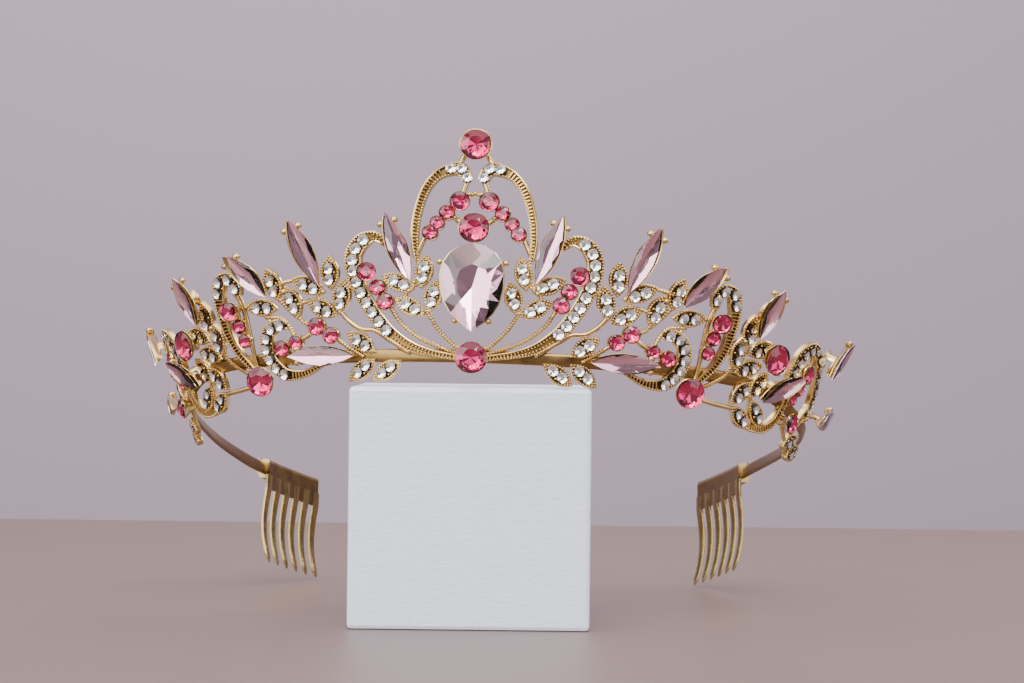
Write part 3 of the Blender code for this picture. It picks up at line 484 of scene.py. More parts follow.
def stone_frame(along, up, heading, out, side=1):
    """Where a stone lies: its length along X and its table towards Z."""
    along = side * along
    heading = heading if side > 0 else math.pi - heading
    near = ((along, up, out), (along, up + 1, out), (along, up - 1, out),
            (along + 1, up, out), (along - 1, up, out))
    middle, above, below, right, left = (Vector(point) for point in on_tiara(near))
    rise = (above - below).normalized()
    normal = (right - left).cross(rise).normalized()
    axes = Matrix((rise.cross(normal), rise, normal)).transposed().to_4x4()
    return Matrix.Translation(middle) @ axes @ Matrix.Rotation(heading, 4, "Z")


# Gathering and finishing meshes

class Work:
    """Vertices in the tiara's own space and faces of one piece."""

    def __init__(self):
        self.verts = []
        self.faces = []
        self.slots = []
        self.count = 0

    def add(self, verts, faces, slot=0, flipped=False):
        """Add one closed part."""
        start = self.count
        for face in faces:
            ring = [start + index for index in face]
            self.faces.append(ring[::-1] if flipped else ring)
        self.slots += [slot] * len(faces) if isinstance(slot, int) else list(slot)
        self.verts.append(verts)
        self.count += len(verts)

    def bend(self, verts, faces, twin=True, slot=0):
        """Add a part of the drawing, and by default its left twin."""
        self.add(on_tiara(verts), faces, slot)
        if twin:
            self.add(on_tiara(verts * (-1, 1, 1)), faces, slot, flipped=True)

    def build_up(self, loops, twin=True, slot=0):
        """Add a part made of outlines, each at its own standoff."""
        self.bend(stack(loops), skin(len(loops), len(loops[0][0])), twin, slot)

    def finish(self, name, materials, slot, sharp=None):
        """Make the object, in metres, riding on the tiara's body."""
        world = np.array(TIARA)
        verts = np.vstack(self.verts) @ world[:3, :3].T + world[:3, 3]
        mesh = bpy.data.meshes.new(name)
        mesh.from_pydata((verts * MM).tolist(), [], self.faces)
        for material in materials:
            mesh.materials.append(material)
        mesh.polygons.foreach_set("material_index", self.slots)
        if sharp is not None:
            mesh.polygons.foreach_set("use_smooth", [True] * len(mesh.polygons))
            mesh.set_sharp_from_angle(angle=math.radians(sharp))
        mesh.update()
        piece = bpy.data.objects.new(name, mesh)
        bpy.context.scene.collection.objects.link(piece)
        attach(piece, "root")
        return piece


def stack(loops):
    """Vertices of outlines, each at its own standoff."""
    return np.vstack([np.column_stack([loop, np.full(len(loop), out)]) for loop, out in loops])


def skin(count, size):
    """Faces over a stack of rings, with both ends closed."""
    faces = []
    for low in range(0, (count - 1) * size, size):
        high = low + size
        for index in range(size):
            after = (index + 1) % size
            faces.append((low + index, low + after, high + after, high + index))
    faces.append(tuple(range(size))[::-1])
    faces.append(tuple(range((count - 1) * size, count * size)))
    return faces


def smooth_path(rows, step):
    """Evenly spaced points on a Catmull-Rom curve through the rows."""
    rows = np.array(rows, float)
    ends = np.vstack([2 * rows[0] - rows[1], rows, 2 * rows[-1] - rows[-2]])
    t = np.linspace(0, 1, 24, endpoint=False)[:, None]
    parts = []
    for before, start, end, after in zip(ends, ends[1:], ends[2:], ends[3:]):
        parts.append(0.5 * (2 * start + (end - before) * t
                            + (2 * before - 5 * start + 4 * end - after) * t ** 2
                            + (3 * start - before - 3 * end + after) * t ** 3))
    return respaced(np.vstack([*parts, rows[-1:]]), step)


def respaced(points, step):
    """The same path with points about a step apart."""
    runs = np.linalg.norm(np.diff(points[:, :2], axis=0), axis=1)
    lengths = np.concatenate([[0.0], np.cumsum(runs)])
    places = np.linspace(0, lengths[-1], max(2, round(lengths[-1] / step) + 1))
    return np.column_stack([np.interp(places, lengths, column) for column in points.T])


def straight_path(start, end, step):
    """A path along the band."""
    return respaced(np.array([(start, 0.0), (end, 0.0)]), step)


def unit(run):
    """Directions of a length of one."""
    return run / np.linalg.norm(run, axis=-1, keepdims=True)


def leftward(path):
    """Unit vectors to the left of a path on the drawing."""
    run = unit(np.gradient(path[:, :2], axis=0))
    return np.column_stack([-run[:, 1], run[:, 0]])


def edge_path(path, offset):
    """A path beside another, to its left by an offset for each point."""
    return path[:, :2] + leftward(path) * np.reshape(offset, (-1, 1))


def sweep(path, across, out):
    """Vertices and faces of a section of across and out values, carried along a path."""
    flat = path[:, None, :2] + leftward(path)[:, None] * np.atleast_2d(across)[:, :, None]
    out = np.broadcast_to(out, flat.shape[:2])[:, :, None]
    return np.concatenate([flat, out], axis=2).reshape(-1, 3), skin(*flat.shape[:2])


def squared_oval(half_width, half_depth, squareness, points):
    """Across and out values of a rounded bar, squarer for a lower squareness."""
    x, y = circle(2.0, points).T
    return (half_width * np.sign(x) * np.abs(x) ** squareness,
            half_depth * np.sign(y) * np.abs(y) ** squareness)


def wire(work, path, radius, out, pitch=0.0, sides=8, twin=True):
    """A round wire along a path, with round ends, roped where a pitch is given."""
    path = respaced(path, pitch / ROPE_STEPS if pitch else 0.5)[:, :2]
    thick = np.full(len(path), radius)
    if pitch:
        turns = np.arange(len(path)) / ROPE_STEPS
        thick = thick * (ROPE_MEAN + ROPE_SWELL * np.cos(2 * math.pi * turns))
    beyond, share = np.array(WIRE_END).T[:, :, None] * radius
    start = path[0] - unit(path[1] - path[0]) * beyond
    end = path[-1] + unit(path[-1] - path[-2]) * beyond[::-1]
    path = np.vstack([start, path, end])
    thick = np.vstack([share, thick[:, None], share[::-1]])
    x, y = circle(2.0, sides).T
    work.bend(*sweep(path, thick * x, out + thick * y), twin)


def bead_shape(lifts, segments, whole):
    """A bead for a radius of one: its top, rings at these heights, and a flat or round end."""
    verts = [(0.0, 0.0, 1.0)]
    rings = []
    for lift in lifts:
        ring = list(range(len(verts), len(verts) + segments))
        rings.append(list(zip(ring, ring[1:] + ring[:1])))
        verts += [(*place, lift) for place in circle(2.0, segments) * math.sqrt(1 - lift * lift)]
    faces = [(0, here, after) for here, after in rings[0]]
    for high, low in zip(rings, rings[1:]):
        faces += [(over, here, after, beside)
                  for (over, beside), (here, after) in zip(high, low)]
    if whole:
        verts.append((0.0, 0.0, -1.0))
        faces += [(here, len(verts) - 1, after) for here, after in rings[-1]]
    else:
        faces.append([here for here, after in reversed(rings[-1])])
    return np.array(verts), faces


def beads(work, places, radius, shape, twin=True):
    """A bead on each place of the drawing."""
    verts, faces = shape
    for place in places:
        work.bend(verts * radius + place, faces, twin)


# The drawing's shapes

def circle(size, points):
    """Points of a round outline."""
    angles = 2 * math.pi * np.arange(points) / points
    return np.column_stack([np.cos(angles), np.sin(angles)]) * size / 2


def almond(length, width, points):
    """Points of a marquise's outline, pointed at both ends."""
    station, side = circle(2.0, points).T
    half = np.copysign(width / 2 * (1 - station ** 2), side)
    return np.column_stack([length / 2 * station, half])


def pear(length, width):
    """Points of a pear's outline, with its round end towards +X and its tip at -X."""
    round_at = length / 2 - width / 2
    tip_run = length - width / 2
    points = [(round_at + width / 2 * math.cos(angle), width / 2 * math.sin(angle))
              for angle in np.linspace(-math.pi / 2, math.pi / 2, 9)]
    flank = [(round_at - part * tip_run, width / 2 * (1 - part ** PEAR_FULLNESS))
             for part in PEAR_FLANK]
    mirrored = [(along, -half) for along, half in reversed(flank)]
    return np.array([*points, *flank, (-length / 2, 0.0), *mirrored])


def turned(outline, middle, heading):
    """An outline turned and moved to its place on the drawing."""
    cos, sin = math.cos(heading), math.sin(heading)
    return np.array(outline) @ np.array([[cos, sin], [-sin, cos]]) + middle


def long_axis(stone):
    """Middle, heading in radians and length of a long stone on the drawing."""
    run = (stone.tip_along - stone.along, stone.tip_up - stone.up)
    middle = ((stone.along + stone.tip_along) / 2, (stone.up + stone.tip_up) / 2)
    return middle, math.atan2(run[1], run[0]), math.hypot(*run)


DOME = bead_shape((0.75, 0.3, -0.5), 8, whole=False)
BALL = bead_shape([math.cos(math.pi * ring / 8) for ring in range(1, 8)], 12, whole=True)


def build_leaf(plates, milgrain, leaf, sizes):
    """A leaf's sunk plate, raised edge and milgrain."""
    *middle, heading = leaf
    heading = math.radians(heading)

    def outline(inset):
        """The leaf's outline, drawn in."""
        shape = almond(LEAF_LENGTH - TIP_INSET * inset, LEAF_WIDTH - 2 * inset, LEAF_POINTS)
        return turned(shape, middle, heading)

    walls = len(LEAF_RINGS) - 2
    # The sunk floor and its slope down take slot 1, the darker gold of painted shade
    painted_shade_slots = [0] * LEAF_POINTS * walls + [1] * LEAF_POINTS + [0, 1]
    plates.build_up([(outline(inset), out) for inset, out in LEAF_RINGS], slot=painted_shade_slots)
    inset, bead_out = LEAF_BEADS
    edge = outline(inset)
    edge = respaced(np.vstack([edge, edge[:1]]), sizes.bead_pitch / MM)[:-1]
    beads(milgrain, stack([(edge, bead_out)]), sizes.bead / MM / 2, DOME)
    for station, across, out, radius in LEAF_GRAINS:
        spot = turned([(station, across)], middle, heading)
        beads(milgrain, stack([(spot, out)]), radius, DOME)


def ribbon_stones(ribbon):
    """Places of a ribbon's clear stones, evenly spaced along its middle."""
    if not ribbon.stones:
        return np.empty((0, 2))
    fine = smooth_path(ribbon.path, 0.1)[:, :2]
    begin, end = (np.argmin(np.linalg.norm(fine - place, axis=1))
                  for place in (ribbon.first, ribbon.last))
    return fine[np.linspace(begin, end, ribbon.stones).round().astype(int)]


def build_ribbon(plates, milgrain, ribbon, sizes):
    """A ribbon's channel, its beaded and smooth edges and what fills it."""
    path = smooth_path(ribbon.path, 0.4)
    half = path[:, 2] / 2
    wall = half - np.minimum(RIBBON_RIM, path[:, 2] * RIBBON_RIM_SHARE)
    across = np.column_stack([half, half, wall, wall, -wall, -wall, -half, -half])
    # The channel's walls and floor take slot 1, the darker gold of painted shade
    painted_shade_slots = RIM_SHADE_SLOTS * (len(path) - 1) + [0, 0]
    plates.bend(*sweep(path, across, RIM_LEVELS), slot=painted_shade_slots)
    inset, out = RIBBON_BEADS
    beaded = respaced(edge_path(path, ribbon.beaded * (half - inset)), sizes.bead_pitch / MM)
    beads(milgrain, stack([(beaded, out)]), sizes.bead / MM / 2, DOME)
    inset, out = EDGE_WIRE
    wire(plates, edge_path(path, -ribbon.beaded * (half - inset)), sizes.wire / MM / 2, out)
    fill_channel(plates, milgrain, ribbon, path)


def fill_channel(plates, milgrain, ribbon, path):
    """Ribs or grains in the channel, away from the stones, and beads between those."""
    stones = ribbon_stones(ribbon)
    fine = respaced(path, RIB_PITCH)
    side = leftward(fine)
    for place, left in zip(fine, side):
        if len(stones) and np.linalg.norm(stones - place[:2], axis=1).min() < STONE_CLEARANCE:
            continue
        reach = (place[2] / 2 - RIB_MARGIN) * left
        if place[2] / 2 - RIB_MARGIN < SHORTEST_RIB:
            continue
        if ribbon.channel == "ribs":
            wire(plates, np.array([place[:2] - reach, place[:2] + reach]), *RIB, sides=6)
        else:
            spots = np.array([place[:2] - reach / 2, place[:2] + reach / 2])
            beads(milgrain, stack([(spots, GRAIN_OUT)]), CHANNEL_GRAIN, DOME)
    radius, out = CORNER_BEAD
    for place in (stones[1:] + stones[:-1]) / 2:
        nearest = np.argmin(np.linalg.norm(fine[:, :2] - place, axis=1))
        reach = side[nearest] * max(CORNER_MARGIN, fine[nearest, 2] / 2 - CORNER_MARGIN)
        beads(milgrain, stack([(np.array([place + reach, place - reach]), out)]), radius, DOME)


def cup(work, outline, foot, rim_out, twin=True):
    """A boat-shaped cup from its narrow foot up to a thin rim round a stone's girdle."""
    middle = outline.mean(axis=0)
    loops = []
    for of_foot, of_outline, height, more in CUP:
        out = METAL_BACK + height * (rim_out - METAL_BACK) + more
        loops.append(((outline - middle) * (foot * of_foot + of_outline) + middle, out))
    work.build_up(loops, twin)


def prong(work, place, root, out, twin=True):
    """A ball prong on its short stalk."""
    beads(work, [(*place, out)], PRONG_BALL / 2, BALL, twin)
    wire(work, np.array([root, place]), PRONG_STALK, out - STALK_UNDER, twin=twin)


def marquise_setting(work, stone):
    """A marquise's boat-shaped cup, the post under it and its two ball prongs."""
    middle, heading, length = long_axis(stone)
    rim = GIRDLE_OUT - ROUND_RIM[1] + stone.lift
    longer, wider = BOAT_MARGIN
    loops = []
    for long, wide, depth in BOAT:
        outline = almond((length + longer) * long, (MARQUISE_WIDTH + wider) * wide, CUP_POINTS)
        loops.append((turned(outline, middle, heading), rim - depth))
    work.build_up(loops)
    post, end = (turned(almond(length * long, MARQUISE_WIDTH * wide, POST_POINTS), middle, heading)
                 for long, wide in (POST, POST_END))
    work.build_up([(end, METAL_BACK), (post, METAL_BACK + POST_ABOVE_BACK),
                   (post, rim - POST_BELOW_RIM), (end, rim - POST_END_BELOW_RIM)])
    station = PRONG_STATION * length / 2
    reach = MARQUISE_WIDTH / 2 * (1 - PRONG_STATION ** 2) + PRONG_SEAT
    for turn in (1, -1):
        ends = [(station, turn * reach), (station, turn * (reach - STALK_RUN))]
        place, root = turned(ends, middle, heading)
        prong(work, place, root, MARQUISE_PRONG_OUT + stone.lift)


def slab(path, low, high, back, front):
    """A flat plate with softened edges, along the band."""
    soft = SLAB_EDGE
    across = (high, high, high - soft, low + soft, low, low, low + soft, high - soft)
    out = (back + soft, front - soft, front, front, front - soft, back + soft, back, back)
    return sweep(path, across, out)


def tooth(place, middle, tip):
    """A tapered tooth that bows out and turns in again."""
    rings = []
    for part in np.linspace(0, 1, TOOTH_STEPS + 1):
        up = TOOTH_ROOT + part * (tip - TOOTH_ROOT)
        below = max(0.0, (-COMB_PLATE_DEPTH - up) / (-COMB_PLATE_DEPTH - tip))
        out = middle + COMB_BOW * math.sin(math.pi * below) - COMB_TIP_IN * below ** 3
        near_tip = max(0.0, (part - TOOTH_TIP_FROM) / (1 - TOOTH_TIP_FROM)) ** 2
        width = TOOTH_HALF_WIDTH * (1 - TOOTH_TAPER * part)
        width *= math.sqrt(1 - TIP_NARROWING * near_tip)
        thick = TOOTH_HALF_THICK * (1 - TIP_THINNING * near_tip)
        wide, deep = squared_oval(width, thick, TOOTH_SQUARENESS, TOOTH_POINTS)
        rings.append(np.column_stack([place - wide, np.full(TOOTH_POINTS, up), out + deep]))
    return np.vstack(rings), skin(len(rings), TOOTH_POINTS)


def comb_parts(tip):
    """The right comb's sleeve round the band, back plate, tab and teeth, each with its slot."""
    half = BAND_HEIGHT / 2
    back, front = BAND_BACK - COMB_PROUD, BAND_FRONT + COMB_PROUD
    path = straight_path(COMB_FROM, COMB_TO, 1.0)
    across, out = squared_oval(half + COMB_PROUD, (front - back) / 2, COMB_SQUARENESS, 24)
    yield *sweep(path, across, out + (front + back) / 2), 0
    # The back plate takes slot 1, the darker gold of painted shade
    yield *slab(path, -COMB_PLATE_DEPTH, half, back, back + COMB_WALL), 1
    path = straight_path(COMB_FROM, COMB_FROM + COMB_TAB, 1.0)
    top = half + COMB_PROUD + TAB_TOP
    yield *slab(path, -half, top, front - TAB_SUNK, front + TAB_PROUD), 0
    for place in np.linspace(COMB_FROM + TEETH_MARGIN, COMB_TO - TEETH_MARGIN, COMB_TEETH):
        yield *tooth(place, back + COMB_WALL / 2, tip), 0


# Cut stones

def cut_stone(outline, cut):
    """Vertices, facets and slots of a brilliant: glass on top, foil below."""
    count = len(outline) // 2
    mains, halves = outline[0::2], outline[1::2]
    top = cut.girdle + cut.thick
    bend = (1 - cut.star * math.cos(math.pi / count)) / (1 - cut.table)
    low = 1 - cut.pavilion * math.cos(math.pi / count)
    loops = [(mains * cut.table, top + cut.crown), (halves * cut.star, top + cut.crown * bend),
             (outline, top), (outline, cut.girdle),
             (halves * cut.pavilion, cut.girdle - cut.depth * low)]
    verts = np.vstack([stack(loops), [(0.0, 0.0, cut.girdle - cut.depth)]])
    stars, tops, girdles, lows, culet = (share * count for share in (1, 2, 4, 6, 7))
    glass = [tuple(range(count))]
    foil = []
    for index in range(count):
        after, before = (index + 1) % count, (index - 1) % count
        here, half, ahead = 2 * index, 2 * index + 1, (2 * index + 2) % (2 * count)
        glass.append((index, stars + index, after))
        glass.append((index, stars + before, tops + here, stars + index))
        glass.append((stars + index, tops + here, tops + half))
        glass.append((stars + index, tops + half, tops + ahead))
        foil.append((girdles + here, girdles + half, tops + half, tops + here))
        foil.append((girdles + half, girdles + ahead, tops + ahead, tops + half))
        foil.append((culet, lows + index, girdles + here, lows + before))
        foil.append((lows + index, girdles + half, girdles + here))
        foil.append((lows + index, girdles + ahead, girdles + half))
    return verts, glass + foil, [0] * len(glass) + [1] * len(foil)


def pink_stone(size, points, cut, **shares):
    """A round stone with a cut, of which these measures are shares of its size."""
    sized = {name: share * size for name, share in shares.items()}
    return cut_stone(circle(size, points), cut._replace(**sized))


def set_stone(work, stone, frame):
    """Put a cut stone in its place."""
    verts, faces, slots = stone
    frame = np.array(frame)
    work.add(verts @ frame[:3, :3].T + frame[:3, 3], faces, slots)


def large_stone(node, stone, frame, pair, slot):
    """One large stone in place of its CAD node."""
    work = Work()
    set_stone(work, stone, frame)
    piece = work.finish(node + "_cut", pair, slot)
    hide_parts(node)


# Finishes

def linear(colour):
    """An sRGB hex colour as linear RGBA."""
    parts = [int(colour[index:index + 2], 16) / 255 for index in (0, 2, 4)]
    return (*(part / 12.92 if part <= 0.04045 else ((part + 0.055) / 1.055) ** 2.4
              for part in parts), 1.0)


def add_node(tree, kind, settings=None, values=None, links=None):
    """Add a node with its settings, its inputs' values and its links."""
    made = tree.nodes.new(kind)
    for name, value in (settings or {}).items():
        setattr(made, name, value)
    for name, value in (values or {}).items():
        made.inputs[name].default_value = value
    for name, source in (links or {}).items():
        tree.links.new(source, made.inputs[name])
    return made


def new_material(name, values):
    """A material with these values on its shader."""
    material = bpy.data.materials.new(name)
    material.use_nodes = True
    shader = material.node_tree.nodes["Principled BSDF"]
    for socket, value in values.items():
        shader.inputs[socket].default_value = value
    return material


def mottled_material(name, values, colour, shade, span, noise, stretch=(1.0, 1.0, 1.0)):
    """A material whose colour drifts with a noise, in millimetres, from a darker shade."""
    tree = new_material(name, values).node_tree
    place = add_node(tree, "ShaderNodeTexCoord")
    scale = add_node(tree, "ShaderNodeMapping",
                     values={"Scale": [part / MM for part in stretch]},
                     links={"Vector": place.outputs["Object"]})
    cloud = add_node(tree, "ShaderNodeTexNoise", values=noise,
                     links={"Vector": scale.outputs["Vector"]})
    tint = add_node(tree, "ShaderNodeValToRGB", links={"Fac": cloud.outputs["Fac"]})
    full = linear(colour)
    dark = (*(part * shade for part in full[:3]), 1.0)
    for stop, position, value in zip(tint.color_ramp.elements, span, (dark, full)):
        stop.position = position
        stop.color = value
    shader = tree.nodes["Principled BSDF"]
    tree.links.new(tint.outputs["Color"], shader.inputs["Base Color"])
    return tree, shader, scale.outputs["Vector"], cloud.outputs["Fac"]


def metal_material(name, colour, roughness):
    """Plated metal, cloudy every 3 mm and finely uneven every 0.25 mm, as cast and polished."""
    tree, shader, place, cloud = mottled_material(
        name, {"Metallic": 1.0}, colour, 0.82, (0.35, 0.65), {"Scale": 0.35, "Detail": 3.0})
    polish = add_node(tree, "ShaderNodeMapRange",
                      values={"From Min": 0.3, "From Max": 0.7, "To Min": roughness - 0.05,
                              "To Max": roughness + 0.07},
                      links={"Value": cloud})
    tree.links.new(polish.outputs["Result"], shader.inputs["Roughness"])
    fine = add_node(tree, "ShaderNodeTexNoise", values={"Scale": 4.0, "Detail": 2.0},
                    links={"Vector": place})
    bump = add_node(tree, "ShaderNodeBump", values={"Strength": 0.05, "Distance": 0.02 * MM},
                    links={"Height": fine.outputs["Fac"]})
    tree.links.new(bump.outputs["Normal"], shader.inputs["Normal"])


def glass_materials(name, colour, foil_colour):
    """Cut glass and the silvery foil on its back, which throws the light out again."""
    new_material(name + "_glass", {"Base Color": linear(colour), "Roughness": 0.01, "IOR": 1.56,
                                   "Transmission Weight": 1.0})
    new_material(name + "_foil", {"Base Color": linear(foil_colour), "Metallic": 1.0,
                                  "Roughness": 0.03})


def leatherette_material(colour, grain):
    """White leatherette: a matt sheen broken by fine level wrinkles."""
    tree, shader, place, cloud = mottled_material(
        "white_leatherette_cover", {"Roughness": 0.48, "Specular IOR Level": 0.35}, colour, 0.94,
        (0.3, 0.6), {"Scale": MM / grain, "Detail": 4.0, "Distortion": 0.6}, (0.32, 0.32, 1.0))
    pebble = add_node(tree, "ShaderNodeTexVoronoi", settings={"feature": "SMOOTH_F1"},
                      values={"Scale": 1.6 * MM / grain}, links={"Vector": place})
    relief = add_node(tree, "ShaderNodeMath", settings={"operation": "ADD"})
    tree.links.new(cloud, relief.inputs[0])
    tree.links.new(pebble.outputs["Distance"], relief.inputs[1])
    bump = add_node(tree, "ShaderNodeBump", values={"Strength": 0.5, "Distance": 0.12 * MM},
                    links={"Height": relief.outputs["Value"]})
    tree.links.new(bump.outputs["Normal"], shader.inputs["Normal"])


def finishes(context, *names):
    """The named finishes, which are all made at the first call."""
    if "pale_gold_plating" not in bpy.data.materials:
        colours = context.scene.tiara_colours
        # Pale gold: soft mirror-like highlights and brown shadows
        metal_material("pale_gold_plating", colours.gold, 0.2)
        # Painted shade: a dull brown gold on the channel and leaf floors, standing in for the
        # shade in the recesses
        metal_material("gold_recess_shade", colours.recess_shade, 0.36)
        # Comb gold: duller stamped teeth
        metal_material("comb_gold_plating", colours.comb_gold, 0.25)
        # Painted shade: a browner gold with a softer shine on the band and the combs' back plates,
        # darkened for the shade they lie in
        metal_material("shaded_gold_plating", colours.shaded_gold, 0.3)
        # Clear crystal: white sparks beside grey facets
        glass_materials("clear_crystal", colours.clear, "FBFAF8")
        # Coral pink: saturated glass with pale radial facets
        glass_materials("coral_pink", colours.pink, "FCE9EC")
        # Pale rose: nearly clear, with a lilac cast in its depth
        glass_materials("pale_rose", colours.rose, "F3EDF1")
        leatherette_material(colours.cover, context.scene.tiara_sizes.grain)
    return [bpy.data.materials[name] for name in names]


# Operators, one for each group of pieces

class TIARA_OT_band(bpy.types.Operator):
    """Build the headband, a polished strip with rounded edges"""

    bl_idname = "tiara.band"
    bl_label = "Headband"

    def execute(self, context):
        work = Work()
        across, out = squared_oval(BAND_HEIGHT / 2, (BAND_FRONT - BAND_BACK) / 2,
                                   BAND_SQUARENESS, 32)
        path = straight_path(-BAND_END, BAND_END, 0.8)
        work.bend(*sweep(path, across, out + (BAND_FRONT + BAND_BACK) / 2), twin=False)
        # The band takes the darker gold of painted shade
        work.finish("headband", finishes(context, "shaded_gold_plating"), "pale_gold", 50)
        return {"FINISHED"}


class TIARA_OT_tracery(bpy.types.Operator):
    """Build the leaves, ribbons and stems, with their milgrain"""

    bl_idname = "tiara.tracery"
    bl_label = "Tracery"

    def execute(self, context):
        sizes = context.scene.tiara_sizes
        gold = finishes(context, "pale_gold_plating", "gold_recess_shade")
        plates, milgrain, leaf_milgrain, stems = Work(), Work(), Work(), Work()
        for leaf in LEAVES:
            build_leaf(plates, leaf_milgrain, leaf, sizes)
        for ribbon in RIBBONS.values():
            build_ribbon(plates, milgrain, ribbon, sizes)
        for points, pitch in ((SMOOTH_STEMS, 0.0), (ROPED_STEMS, sizes.rope_pitch / MM)):
            for stem in points:
                wire(stems, smooth_path(stem, 0.4), STEM_RADIUS, STEM_OUT, pitch, sides=10)
        tracery = plates.finish("tracery_plates", gold, "pale_gold", 40)
        milgrain.finish("ribbon_milgrain", gold[:1], "pale_gold", 60)
        leaf_milgrain.finish("leaf_milgrain", gold[:1], "pale_gold", 60)
        stems.finish("tracery_stems", gold[:1], "pale_gold", 60)
        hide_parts("tiara_frame")
        return {"FINISHED"}


class TIARA_OT_settings(bpy.types.Operator):
    """Build the cups, rims and ball prongs that hold the stones"""

    bl_idname = "tiara.settings"
    bl_label = "Settings"

    def execute(self, context):
        work = Work()
        for name, (along, up, size) in {**CENTRE_ROUNDS, **SIDE_ROUNDS}.items():
            wider, sunk = CREST_RIM if name == "crest_stone" else ROUND_RIM
            outline = circle(size + wider, CUP_POINTS) + (along, up)
            cup(work, outline, ROUND_FOOT, GIRDLE_OUT - sunk, name in SIDE_ROUNDS)
        for along, up, size in SMALL_PINKS:
            work.build_up([(circle(size * share + more, SMALL_CUP_POINTS) + (along, up), out)
                           for share, more, out in SMALL_CUP])
        for stone in MARQUISES:
            marquise_setting(work, stone)
        outline = turned(pear(PEAR_LENGTH, PEAR_WIDTH), (0.0, PEAR_UP), math.pi / 2)
        cup(work, outline, PEAR_FOOT, SEAT_OUT + PEAR_GIRDLE_RISE - PEAR_RIM_SUNK, False)
        for across, up in PEAR_PRONGS:
            for along in (across, -across):
                root = (PEAR_PRONG_ROOT * along, PEAR_UP + PEAR_PRONG_ROOT * (up - PEAR_UP))
                prong(work, (along, up), root, PEAR_PRONG_OUT, twin=False)
        for along, up, size in JOINT_BEADS:
            beads(work, [(along, up, JOINT_BEAD_OUT)], size / 2, BALL, along > 0)
        work.finish("settings", finishes(context, "pale_gold_plating"), "pale_gold", 45)
        return {"FINISHED"}


class TIARA_OT_clear_stones(bpy.types.Operator):
    """Set the small clear stones of the leaves and ribbons"""

    bl_idname = "tiara.clear_stones"
    bl_label = "Clear stones"

    def execute(self, context):
        work = Work()
        cut = cut_stone(circle(CLEAR_STONE, STONE_POINTS), CLEAR_CUT)
        places = []
        for *middle, heading in LEAVES:
            stations = [(station, 0.0) for station in CLEAR_STATIONS]
            places += list(turned(stations, middle, math.radians(heading)))
        for ribbon in RIBBONS.values():
            places += list(ribbon_stones(ribbon))
        for index, (along, up) in enumerate(places):
            for side in SIDES.values():
                spin = CLEAR_SPIN * index + TWIN_SPIN * side
                set_stone(work, cut, stone_frame(along, up, spin, CLEAR_OUT, side))
        pair = finishes(context, "clear_crystal_glass", "clear_crystal_foil")
        work.finish("clear_stones", pair, "pale_gold")
        return {"FINISHED"}


class TIARA_OT_pink_stones(bpy.types.Operator):
    """Set the coral pink stones, the small ones as one piece"""

    bl_idname = "tiara.pink_stones"
    bl_label = "Pink stones"

    def execute(self, context):
        pair = finishes(context, "coral_pink_glass", "coral_pink_foil")
        work = Work()
        for index, (along, up, size) in enumerate(SMALL_PINKS):
            stone = pink_stone(size, STONE_POINTS, SMALL_PINK_CUT, **SMALL_PINK_SHARES)
            for side in SIDES.values():
                frame = stone_frame(along, up, PINK_SPIN * index, SMALL_PINK_OUT, side)
                set_stone(work, stone, frame)
        work.finish("small_pink_stones", pair, "pink_glass")
        rows = [(name, row, 1) for name, row in CENTRE_ROUNDS.items()]
        rows += [(f"{name}_{word}", row, side) for word, side in SIDES.items()
                 for name, row in SIDE_ROUNDS.items()]
        for node, (along, up, size), side in rows:
            stone = pink_stone(size, LARGE_PINK_POINTS, LARGE_PINK_CUT, **LARGE_PINK_SHARES)
            frame = stone_frame(along, up, 0.0, SEAT_OUT, side)
            large_stone(node, stone, frame, pair, "pink_glass")
        return {"FINISHED"}


class TIARA_OT_rose_stones(bpy.types.Operator):
    """Set the pear and the marquises of pale rose glass"""

    bl_idname = "tiara.rose_stones"
    bl_label = "Rose stones"

    def execute(self, context):
        pair = finishes(context, "pale_rose_glass", "pale_rose_foil")
        stone = cut_stone(pear(PEAR_LENGTH, PEAR_WIDTH), PEAR_CUT)
        frame = stone_frame(0.0, PEAR_UP, math.pi / 2, SEAT_OUT)
        large_stone("pear_stone", stone, frame, pair, "rose_glass")
        for word, side in SIDES.items():
            for number, row in enumerate(MARQUISES, 1):
                middle, heading, length = long_axis(row)
                stone = cut_stone(almond(length, MARQUISE_WIDTH, STONE_POINTS), MARQUISE_CUT)
                frame = stone_frame(*middle, heading, SEAT_OUT + row.lift, side)
                large_stone(f"marquise_stone_{number}_{word}", stone, frame, pair, "rose_glass")
        return {"FINISHED"}


class TIARA_OT_combs(bpy.types.Operator):
    """Build the stamped combs"""

    bl_idname = "tiara.combs"
    bl_label = "Combs"

    def execute(self, context):
        # The second finish is the darker gold of painted shade, for the back plates
        gold = finishes(context, "comb_gold_plating", "shaded_gold_plating")
        for (word, side), tip in zip(SIDES.items(), (RIGHT_TOOTH_TIP, LEFT_TOOTH_TIP)):
            work = Work()
            for verts, faces, slot in comb_parts(tip):
                work.add(on_tiara(verts * (side, 1, 1)), faces, slot, flipped=side < 0)
            piece = work.finish("comb_detail_" + word, gold, "comb_gold", 40)
            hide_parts("comb_" + word)
        return {"FINISHED"}


class TIARA_OT_block(bpy.types.Operator):
    """Cover the display block with leatherette"""

    bl_idname = "tiara.block"
    bl_label = "Display block"

    def execute(self, context):
        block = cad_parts["display_block"]
        block.data.materials.clear()
        block.data.materials.append(*finishes(context, "white_leatherette_cover"))
        return {"FINISHED"}


